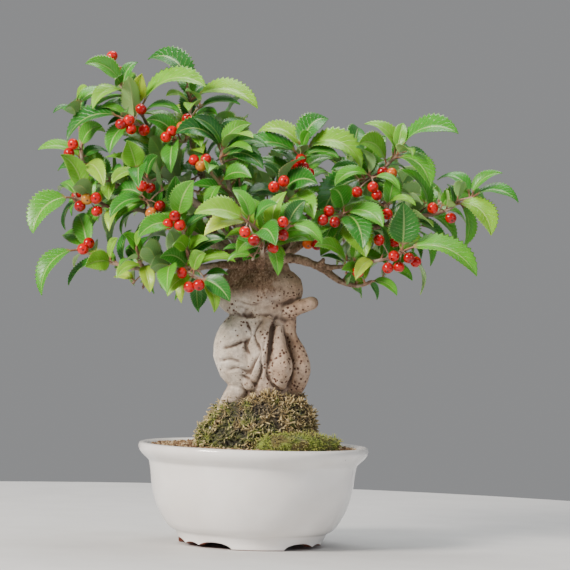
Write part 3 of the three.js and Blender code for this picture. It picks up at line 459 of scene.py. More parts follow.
def normals_of(mesh):
    """The mesh's normals by corner as an array."""
    flat = np.empty(3 * len(mesh.vertices))
    mesh.vertex_normals.foreach_get("vector", flat)
    return flat.reshape(-1, 3)


def store(mesh, label, row):
    """Keeps one number by point as an attribute."""
    layer = mesh.attributes.get(label) or mesh.attributes.new(label, "FLOAT", "POINT")
    layer.data.foreach_set("value", np.asarray(row, dtype=np.float32))


def finish_piece(piece, slot, *nodes):
    """Rides the piece on the plant, in place of its nodes; its slot is not used."""
    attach(piece, "root")
    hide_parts(*nodes)


def lathe(profile, sides):
    """Points and faces of a closed profile of (radius, height) turned about the pot's axis."""
    turn = np.arange(sides) * 2 * np.pi / sides
    points = []
    for radius, height in profile:
        ring = np.stack([radius * np.sin(turn), -radius * np.cos(turn), turn * 0 + height], axis=1)
        points.append(ring)
    count = len(profile)
    faces = []
    for i in range(count):
        here, there = i * sides, ((i + 1) % count) * sides
        for j in range(sides):
            k = (j + 1) % sides
            faces.append((here + j, here + k, there + k, there + j))
    return np.concatenate(points), faces


def smooth_path(points, samples):
    """Evenly spaced values of the curve through the points."""
    return np.array([curve_point(points, i / (samples - 1)) for i in range(samples)])


def curve_point(points, t):
    """The point at t, from 0 to 1, of a smooth curve through the points."""
    points = [np.asarray(p, dtype=float) for p in points]
    last = len(points) - 1
    at = min(max(t, 0.0), 1.0) * last
    low = min(int(at), last - 1)
    share = at - low
    before = points[low - 1] if low > 0 else 2 * points[0] - points[1]
    after = points[low + 2] if low + 2 <= last else 2 * points[last] - points[last - 1]
    start, end = points[low], points[low + 1]
    leave, arrive = 0.5 * (end - before), 0.5 * (after - start)
    second = 3 * (end - start) - 2 * leave - arrive
    third = 2 * (start - end) + leave + arrive
    return start + share * (leave + share * (second + share * third))


def seen_at(point):
    """Where a point is seen in the picture, in pixels across and down."""
    spread = (point[1] - EYE[1]) / -EYE[1]
    x = EYE[0] + (point[0] - EYE[0]) / spread
    z = EYE[2] + (point[2] - EYE[2]) / spread
    right = (x * math.cos(PICTURE_ROLL) + z * math.sin(PICTURE_ROLL)) / MM_PER_PIXEL
    high = (z * math.cos(PICTURE_ROLL) - x * math.sin(PICTURE_ROLL)) / MM_PER_PIXEL
    return PICTURE_FOOT[0] + right, PICTURE_FOOT[1] - high


def inside(outline, spot):
    """Whether the outline goes round the spot: it crosses an odd number of edges to its right."""
    across, down = spot
    odd = False
    for (x0, y0), (x1, y1) in zip(outline, outline[1:] + outline[:1]):
        if (y0 > down) != (y1 > down) and across < x0 + (x1 - x0) * (down - y0) / (y1 - y0):
            odd = not odd
    return odd


def curve_tangent(points, t):
    """The direction of that curve at t."""
    step = 0.0001
    ahead = curve_point(points, min(t + step, 1.0))
    return unit(ahead - curve_point(points, max(t - step, 0.0)))


def between(values, t):
    """The value at t, from 0 to 1, along evenly spaced values."""
    at = min(max(t, 0.0), 1.0) * (len(values) - 1)
    low = min(int(at), len(values) - 2)
    return values[low] + (values[low + 1] - values[low]) * (at - low)


# Geometry trees


def new_tree(name, sizes):
    """A tree of geometry nodes with a named input for each size, and its input node."""
    tree = bpy.data.node_groups.new(name, "GeometryNodeTree")
    face = tree.interface
    face.new_socket("Geometry", in_out="INPUT", socket_type="NodeSocketGeometry")
    face.new_socket("Geometry", in_out="OUTPUT", socket_type="NodeSocketGeometry")
    for label, value in sizes.items():
        whole = isinstance(value, int)
        kind = "NodeSocketInt" if whole else "NodeSocketFloat"
        face.new_socket(label, in_out="INPUT", socket_type=kind).default_value = value
    return tree, add(tree, "NodeGroupInput")


def grown(name, mesh, tree, sizes=()):
    """A piece grown from the mesh by the tree, with these of its sizes, as a plain mesh."""
    piece = new_piece(name, mesh)
    modifier = piece.modifiers.new("growth", "NODES")
    modifier.node_group = tree
    for item in tree.interface.items_tree:
        if item.in_out == "INPUT" and item.name in sizes:
            modifier[item.identifier] = sizes[item.name]
    return bake_modifiers(piece)


def spray_tree(leaf_material, twig_material):
    """Blades drawn along midribs and bark drawn along stems.

    The mesh holds a chain of points for each leaf and stem. Each point has its half width, and a
    leaf's also its side and face directions.
    """
    tree, start = new_tree("leafy spray", {
        "Section Points": 16, "Stem Sides": 10, "Blade Thickness": 0.16 * MM,
        "Stalk Thickness": 0.42 * MM, "Fold": 0.3, "Rib Depth": 0.22 * MM, "Bark Relief": 0.1 * MM,
    })
    held = {label: add(tree, "GeometryNodeInputNamedAttribute", {"Name": label})
            for label in ("blade", "half", "across", "ripple", "along", "upper")}
    turned = {label: add(tree, "GeometryNodeInputNamedAttribute", {"Name": label},
                         data_type="FLOAT_VECTOR") for label in ("side", "face", "middle")}
    spot = add(tree, "GeometryNodeInputPosition")
    kept = add(tree, "GeometryNodeStoreNamedAttribute",
               {"Geometry": start.outputs["Geometry"], "Name": "middle", "Value": spot},
               data_type="FLOAT_VECTOR")
    split = add(tree, "GeometryNodeSeparateGeometry", {"Geometry": kept,
                                                       "Selection": held["blade"]})
    # The blade's section: a ring whose width is the leaf's width and whose height is its thickness.
    ring = add(tree, "GeometryNodeCurvePrimitiveCircle",
               {"Resolution": start.outputs["Section Points"], "Radius": 1.0})
    parts = add(tree, "ShaderNodeSeparateXYZ", {0: add(tree, "GeometryNodeInputPosition")})
    flat = add(tree, "ShaderNodeMath", {0: parts.outputs["X"]}, operation="ABSOLUTE")
    pulled = add(tree, "ShaderNodeMath", {0: flat, 1: 1.5}, operation="POWER")
    sign = add(tree, "ShaderNodeMath", {0: parts.outputs["X"]}, operation="SIGN")
    across = add(tree, "ShaderNodeMath", {0: pulled, 1: sign}, operation="MULTIPLY")
    section = add(tree, "GeometryNodeStoreNamedAttribute",
                  {"Geometry": ring, "Name": "across", "Value": across})
    section = add(tree, "GeometryNodeStoreNamedAttribute",
                  {"Geometry": section, "Name": "upper", "Value": parts.outputs["Y"]})
    ribs = add(tree, "GeometryNodeMeshToCurve", {0: split.outputs["Selection"]})
    skin = add(tree, "GeometryNodeCurveToMesh", {"Curve": ribs, "Profile Curve": section,
                                                 "Fill Caps": True})
    half = held["half"]
    over = held["across"]
    width = add(tree, "ShaderNodeMath", {0: over, 1: half}, operation="MULTIPLY")
    spread = add(tree, "ShaderNodeMath", {0: over}, operation="ABSOLUTE")
    aside = add(tree, "ShaderNodeVectorMath", {0: turned["side"], "Scale": width},
                operation="SCALE")
    # How far a point stands off the midrib's level: the fold, the ripple, the rib and the thickness.
    raised = add(tree, "ShaderNodeMath", {0: spread, 1: half}, operation="MULTIPLY")
    folded = add(tree, "ShaderNodeMath", {0: raised, 1: start.outputs["Fold"]},
                 operation="MULTIPLY")
    rippled = add(tree, "ShaderNodeMath", {0: over, 1: held["ripple"], 2: folded},
                  operation="MULTIPLY_ADD")
    narrow = add(tree, "ShaderNodeMapRange", {0: spread, 1: 0.0, 2: 0.2, 3: 1.0, 4: 0.0})
    groove = add(tree, "ShaderNodeMath", {0: narrow, 1: start.outputs["Rib Depth"]},
                 operation="MULTIPLY")
    sunk = add(tree, "ShaderNodeMath", {0: rippled, 1: groove}, operation="SUBTRACT")
    thick = add(tree, "ShaderNodeMapRange", {0: held["along"], 1: STALK_SHARE,
                                             2: STALK_SHARE + 0.1,
                                             3: start.outputs["Stalk Thickness"],
                                             4: start.outputs["Blade Thickness"]})
    level = add(tree, "ShaderNodeMath", {0: held["upper"], 1: thick, 2: sunk},
                operation="MULTIPLY_ADD")
    off = add(tree, "ShaderNodeVectorMath", {0: turned["face"], "Scale": level},
              operation="SCALE")
    moved = add(tree, "ShaderNodeVectorMath", {0: aside, 1: off}, operation="ADD")
    spots = add(tree, "ShaderNodeVectorMath", {0: turned["middle"], 1: moved},
                operation="ADD")
    blades = add(tree, "GeometryNodeSetPosition", {"Geometry": skin, "Position": spots})
    green = add(tree, "GeometryNodeSetMaterial", {"Geometry": blades, "Material": leaf_material})
    # Stems: round, with a slightly knotty bark.
    ways = add(tree, "GeometryNodeMeshToCurve", {0: split.outputs["Inverted"]})
    round_section = add(tree, "GeometryNodeCurvePrimitiveCircle",
                        {"Resolution": start.outputs["Stem Sides"], "Radius": 1.0})
    bark = add(tree, "GeometryNodeCurveToMesh", {"Curve": ways, "Profile Curve": round_section,
                                                 "Scale": half, "Fill Caps": True})
    knots = add(tree, "ShaderNodeTexNoise", {"Scale": 1 / (1.6 * MM), "Detail": 2.0})
    swell = add(tree, "ShaderNodeMath", {0: knots, 1: 0.5}, operation="SUBTRACT")
    lift = add(tree, "ShaderNodeMath", {0: swell, 1: start.outputs["Bark Relief"]},
               operation="MULTIPLY")
    push = add(tree, "ShaderNodeVectorMath", {0: add(tree, "GeometryNodeInputNormal"),
                                              "Scale": lift}, operation="SCALE")
    knotty = add(tree, "GeometryNodeSetPosition", {"Geometry": bark, "Offset": push})
    brown = add(tree, "GeometryNodeSetMaterial", {"Geometry": knotty, "Material": twig_material})
    both = add(tree, "GeometryNodeJoinGeometry")
    for made in (green, brown):
        tree.links.new(made.outputs[0], both.inputs[0])
    real = add(tree, "GeometryNodeRealizeInstances", {0: both})
    smooth = add(tree, "GeometryNodeSetShadeSmooth", {"Geometry": real})
    add(tree, "NodeGroupOutput", {0: smooth})
    return tree


def berry_tree(berry_material):
    """Berries set on points, each turned so that its scar looks away from its stalk."""
    tree, start = new_tree("bunch of berries", {
        "Radius": BERRY_RADIUS * MM, "Segments": 22, "Rings": 14, "Flatness": 0.94,
    })
    ball = add(tree, "GeometryNodeMeshUVSphere", {"Segments": start.outputs["Segments"],
                                                  "Rings": start.outputs["Rings"],
                                                  "Radius": start.outputs["Radius"]})
    spot = add(tree, "GeometryNodeInputPosition")
    parts = add(tree, "ShaderNodeSeparateXYZ", {0: spot})
    share = add(tree, "ShaderNodeMath", {0: parts.outputs["Z"], 1: start.outputs["Radius"]},
                operation="DIVIDE")
    marked = add(tree, "GeometryNodeStoreNamedAttribute",
                 {"Geometry": ball, "Name": "pole", "Value": share})
    # Both poles are drawn in a little, where the stalk and the scar sit.
    pole = add(tree, "ShaderNodeMath", {0: share}, operation="ABSOLUTE")
    dent = add(tree, "ShaderNodeMapRange", {0: pole, 1: 0.86, 2: 1.0, 3: 1.0, 4: 0.9})
    squash = add(tree, "ShaderNodeMath", {0: dent, 1: start.outputs["Flatness"]},
                 operation="MULTIPLY")
    form = add(tree, "ShaderNodeCombineXYZ", {"X": 1.0, "Y": 1.0, "Z": squash})
    shaped = add(tree, "ShaderNodeVectorMath", {0: spot, 1: form}, operation="MULTIPLY")
    fruit = add(tree, "GeometryNodeSetPosition", {"Geometry": marked, "Position": shaped})
    facing = add(tree, "FunctionNodeAlignRotationToVector",
                 {"Vector": add(tree, "GeometryNodeInputNamedAttribute", {"Name": "axis"},
                                data_type="FLOAT_VECTOR")}, axis="Z")
    set_out = add(tree, "GeometryNodeInstanceOnPoints",
                  {"Points": start.outputs["Geometry"], "Instance": fruit, "Rotation": facing,
                   "Scale": add(tree, "GeometryNodeInputNamedAttribute", {"Name": "size"},
                                data_type="FLOAT_VECTOR")})
    real = add(tree, "GeometryNodeRealizeInstances", {0: set_out})
    smooth = add(tree, "GeometryNodeSetShadeSmooth", {"Geometry": real})
    red = add(tree, "GeometryNodeSetMaterial", {"Geometry": smooth, "Material": berry_material})
    add(tree, "NodeGroupOutput", {0: red})
    return tree


# How thick moss shoots stand, and their sizes.
OLD_SHOOTS = {
    "Seed": 11, "Shoots Per Square Metre": 960000.0, "Length": 2.3 * MM,
    "Foot Radius": 0.44 * MM, "Tip Radius": 0.27 * MM, "Curl": 1.6 * MM,
}
FRESH_SHOOTS = {
    "Seed": 12, "Shoots Per Square Metre": 1500000.0, "Length": 2.0 * MM,
    "Foot Radius": 0.26 * MM, "Tip Radius": 0.1 * MM, "Curl": 0.5 * MM,
}


def toned(tree, bits, seed):
    """The scattered bits, each with a tone of its own."""
    tone = add(tree, "FunctionNodeRandomValue", {2: 0.0, 3: 1.0, "Seed": seed})
    return add(tree, "GeometryNodeStoreNamedAttribute",
               {"Geometry": bits, "Name": "tone", "Value": tone.outputs[1]},
               data_type="FLOAT", domain="INSTANCE")


def end_with_ground(tree, bits, ground, material):
    """Gives out the bits and the ground under them as one mesh of one material."""
    both = add(tree, "GeometryNodeJoinGeometry")
    tree.links.new(bits.outputs[0], both.inputs[0])
    tree.links.new(ground, both.inputs[0])
    real = add(tree, "GeometryNodeRealizeInstances", {0: both})
    dressed = add(tree, "GeometryNodeSetMaterial", {"Geometry": real, "Material": material})
    add(tree, "NodeGroupOutput", {0: dressed})
    return tree


def shoot_tree(material):
    """Curled moss shoots standing on a surface, which stays under them."""
    tree, start = new_tree(material.name + " shoots", OLD_SHOOTS)
    ground = start.outputs["Geometry"]
    seed = start.outputs["Seed"]
    density = add(tree, "ShaderNodeMath",
                  {0: start.outputs["Shoots Per Square Metre"],
                   1: add(tree, "GeometryNodeInputNamedAttribute", {"Name": "dense"})},
                  operation="MULTIPLY")
    sown = add(tree, "GeometryNodeDistributePointsOnFaces",
               {"Mesh": ground, "Density": density, "Seed": seed})
    shaft = add(tree, "GeometryNodeMeshCone", {"Vertices": 4, "Side Segments": 3,
                                               "Radius Top": start.outputs["Tip Radius"],
                                               "Radius Bottom": start.outputs["Foot Radius"],
                                               "Depth": start.outputs["Length"]})
    parts = add(tree, "ShaderNodeSeparateXYZ", {0: add(tree, "GeometryNodeInputPosition")})
    share = add(tree, "ShaderNodeMath", {0: parts.outputs["Z"], 1: start.outputs["Length"]},
                operation="DIVIDE")
    bent = add(tree, "ShaderNodeMath", {0: share, 1: 2.0}, operation="POWER")
    aside = add(tree, "ShaderNodeMath", {0: bent, 1: start.outputs["Curl"]}, operation="MULTIPLY")
    lean = add(tree, "ShaderNodeCombineXYZ", {"X": aside})
    curled = add(tree, "GeometryNodeSetPosition",
                 {"Geometry": add(tree, "GeometryNodeStoreNamedAttribute",
                                  {"Geometry": shaft, "Name": "rise", "Value": share}),
                  "Offset": lean})
    turn = add(tree, "FunctionNodeRandomValue", {0: (-0.7, -0.7, 0.0), 1: (0.7, 0.7, 6.3),
                                                 "Seed": seed}, data_type="FLOAT_VECTOR")
    facing = add(tree, "FunctionNodeRotateRotation", {0: sown.outputs["Rotation"], 1: turn},
                 rotation_space="LOCAL")
    size = add(tree, "FunctionNodeRandomValue", {2: 0.55, 3: 1.25, "Seed": seed})
    shoots = add(tree, "GeometryNodeInstanceOnPoints",
                 {"Points": sown, "Instance": curled, "Rotation": facing,
                  "Scale": size.outputs[1]})
    return end_with_ground(tree, toned(tree, shoots, seed), ground, material)


def crumb_tree(material):
    """Crumbs of baked clay bedded in the soil's top."""
    tree, start = new_tree("soil crumbs", {
        "Seed": 4, "Crumbs Per Square Metre": 260000.0, "Crumb Radius": 1.05 * MM,
        "Least Spacing": 1.15 * MM,
    })
    ground = start.outputs["Geometry"]
    seed = start.outputs["Seed"]
    sown = add(tree, "GeometryNodeDistributePointsOnFaces",
               {"Mesh": ground,
                "Selection": add(tree, "GeometryNodeInputNamedAttribute", {"Name": "top"}),
                "Distance Min": start.outputs["Least Spacing"],
                "Density Max": start.outputs["Crumbs Per Square Metre"], "Seed": seed},
               distribute_method="POISSON")
    grain = add(tree, "GeometryNodeMeshIcoSphere", {"Radius": start.outputs["Crumb Radius"],
                                                    "Subdivisions": 2})
    turn = add(tree, "FunctionNodeRandomValue", {0: (0.0, 0.0, 0.0), 1: (6.3, 6.3, 6.3),
                                                 "Seed": seed}, data_type="FLOAT_VECTOR")
    size = add(tree, "FunctionNodeRandomValue", {0: (0.6, 0.5, 0.4), 1: (1.35, 1.2, 0.9),
                                                 "Seed": seed}, data_type="FLOAT_VECTOR")
    crumbs = add(tree, "GeometryNodeInstanceOnPoints",
                 {"Points": sown, "Instance": grain, "Rotation": turn, "Scale": size})
    real = add(tree, "GeometryNodeRealizeInstances", {0: toned(tree, crumbs, seed)})
    lumps = add(tree, "ShaderNodeTexNoise", {"Scale": 1 / (1.5 * MM), "Detail": 1.0})
    swell = add(tree, "ShaderNodeVectorMath", {0: lumps.outputs["Color"], 1: (0.5, 0.5, 0.5)},
                operation="SUBTRACT")
    push = add(tree, "ShaderNodeVectorMath", {0: swell, "Scale": 1.4 * MM}, operation="SCALE")
    rough = add(tree, "GeometryNodeSetPosition", {"Geometry": real, "Offset": push})
    return end_with_ground(tree, rough, ground, material)


# The way the tree grows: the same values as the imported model's, in the picture's pixels.


def leaf(at, across, down, depth, face=0.4, wide=1.0, arch=0.2):
    """A leaf that leaves its stem at a share of its length, with its tip's place in the picture."""
    return {"at": at, "tip": place((across, down, depth)), "face": face, "wide": wide, "arch": arch,
            "towards": TOWARDS_EYE}


# Each of these is a path and the radii along it.
TRUNK_LOBES = [
  ([[252, 470, 2], [256, 440, 2], [264, 410, 2], [268, 392, 2]], [11, 14, 15, 14]),
  ([[268, 398, 4], [266, 360, 4], [264, 322, 3], [262, 290, 2]], [13.5, 14, 13, 13]),
  ([[266, 394, -3], [264, 368, -5], [262, 342, -5], [262, 318, -3]], [10, 12, 11, 9]),
  ([[237, 391, -6], [228, 408, -9], [215, 432, -12]], [5.5, 5, 4]),
  ([[252, 386, -4], [238, 369, -6], [233, 350, -6], [238, 331, -5], [247, 316, -3]],
   [6, 9.5, 10, 9, 6]),
  ([[290, 318, 0], [289, 336, -3], [296, 354, -4], [299, 372, -5], [292, 392, -2]],
   [3.5, 4, 5.5, 6, 5]),
  ([[279, 330, -12], [280, 350, -14], [282, 366, -14], [280, 382, -11]], [2.4, 3.6, 5.8, 4.2]),
  ([[268, 320, -12], [265, 342, -15], [259, 364, -15], [250, 384, -12]], [2.6, 2.8, 2.8, 3.4]),
  ([[240, 298, 0], [262, 290, -1], [284, 289, 0]], [9.5, 13, 9.8]),
  ([[236, 284, 2], [252, 272, 2], [272, 270, 1]], [8, 10.5, 9]),
  ([[286, 312, -3], [300, 307, -5], [312, 303, -6]], [4.4, 3.8, 3.4]),
  ([[217, 296, -3], [227, 306, -5], [240, 313, -7]], [2.2, 2.8, 3]),
]

LIMBS = {
  "left_low": ([[246, 264, -6], [218, 265, -15], [188, 269, -18], [157, 270, -18], [130, 268, -16]],
    [2.2, 1.1]),
  "left_mid": ([[244, 262, 0], [208, 242, 0], [168, 221, -5], [140, 210, -7], [118, 211, -9]],
    [2.1, 1]),
  "left_high": ([[250, 268, 4], [204, 232, 12], [162, 205, 8], [126, 190, 2], [102, 181, -1]],
    [2.2, 1]),
  "leader_left": ([[250, 262, 3], [224, 226, 6], [182, 192, 6], [160, 162, 3], [150, 132, 0],
    [143, 116, -2]], [2.8, 0.9]),
  "leader": ([[256, 262, 8], [240, 224, 14], [213, 194, 15], [196, 162, 9], [191, 132, 4],
    [190, 113, 1]], [2.8, 0.9]),
  "center_up": ([[264, 262, -2], [250, 228, -4], [234, 200, -8], [227, 178, -10], [222, 162, -12]],
    [2.1, 0.9]),
  "right_up": ([[270, 262, 2], [284, 224, 4], [294, 198, 1], [300, 174, -2]], [2.2, 0.9]),
  "right_high": ([[274, 262, 8], [300, 224, 14], [332, 202, 13], [360, 185, 9], [382, 171, 6]],
    [2.3, 0.9]),
  "right_mid": ([[276, 262, 4], [306, 242, 10], [342, 232, 8], [376, 227, 4], [404, 221, 0],
    [420, 216, -2]], [2.2, 0.9]),
  "right_low": ([[276, 258, -5], [297, 259, -9], [319, 267, -12], [342, 282, -14], [357, 286, -15]],
    [2.8, 1.1]),
  "right_low_fork": ([[316, 265, -11], [338, 267, -15], [358, 263, -18]], [1.5, 1]),
  "front": ([[262, 272, 0], [262, 256, -20], [263, 240, -34]], [2.2, 1.1]),
  "back_left": ([[246, 264, 8], [216, 234, 26], [182, 214, 36], [158, 204, 40]], [2.3, 1]),
  "back": ([[260, 264, 8], [260, 228, 22], [252, 190, 31], [246, 164, 34]], [2.3, 1]),
  "back_right": ([[272, 264, 8], [304, 234, 28], [338, 218, 40], [362, 210, 45]], [2.3, 1]),
  "dry_stalk": ([[254, 270, 0], [255, 262, -13], [262, 275, -17]], [0.8, 0.6]),
}

# Dead stubs and bare twigs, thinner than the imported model's limbs.
TWIGS = [
  ([[251, 266, -8], [249, 258, -13], [244, 263, -17]], [1.3, 0.9]),
  ([[250, 232, -4], [253, 247, -9], [262, 241, -12]], [1.0, 0.7]),
  ([[181, 226, -3], [186, 238, -8], [188, 255, -10]], [0.9, 0.7]),
  ([[160, 160, 2], [158, 148, -3], [157, 137, -5]], [1.0, 0.8]),
  ([[316, 266, -12], [322, 262, -15], [324, 258, -16]], [1.5, 1.0]),
]


def spray(name, limb, at, stem, fill, leaves=(), berries=(), more=()):
    """A spray that leaves its limb at a share of its length. fill leaves stand round its stem."""
    return {"name": name, "limb": limb, "at": at, "stem": stem, "fill": fill, "leaves": list(leaves),
            "berries": list(berries), "more": list(more)}


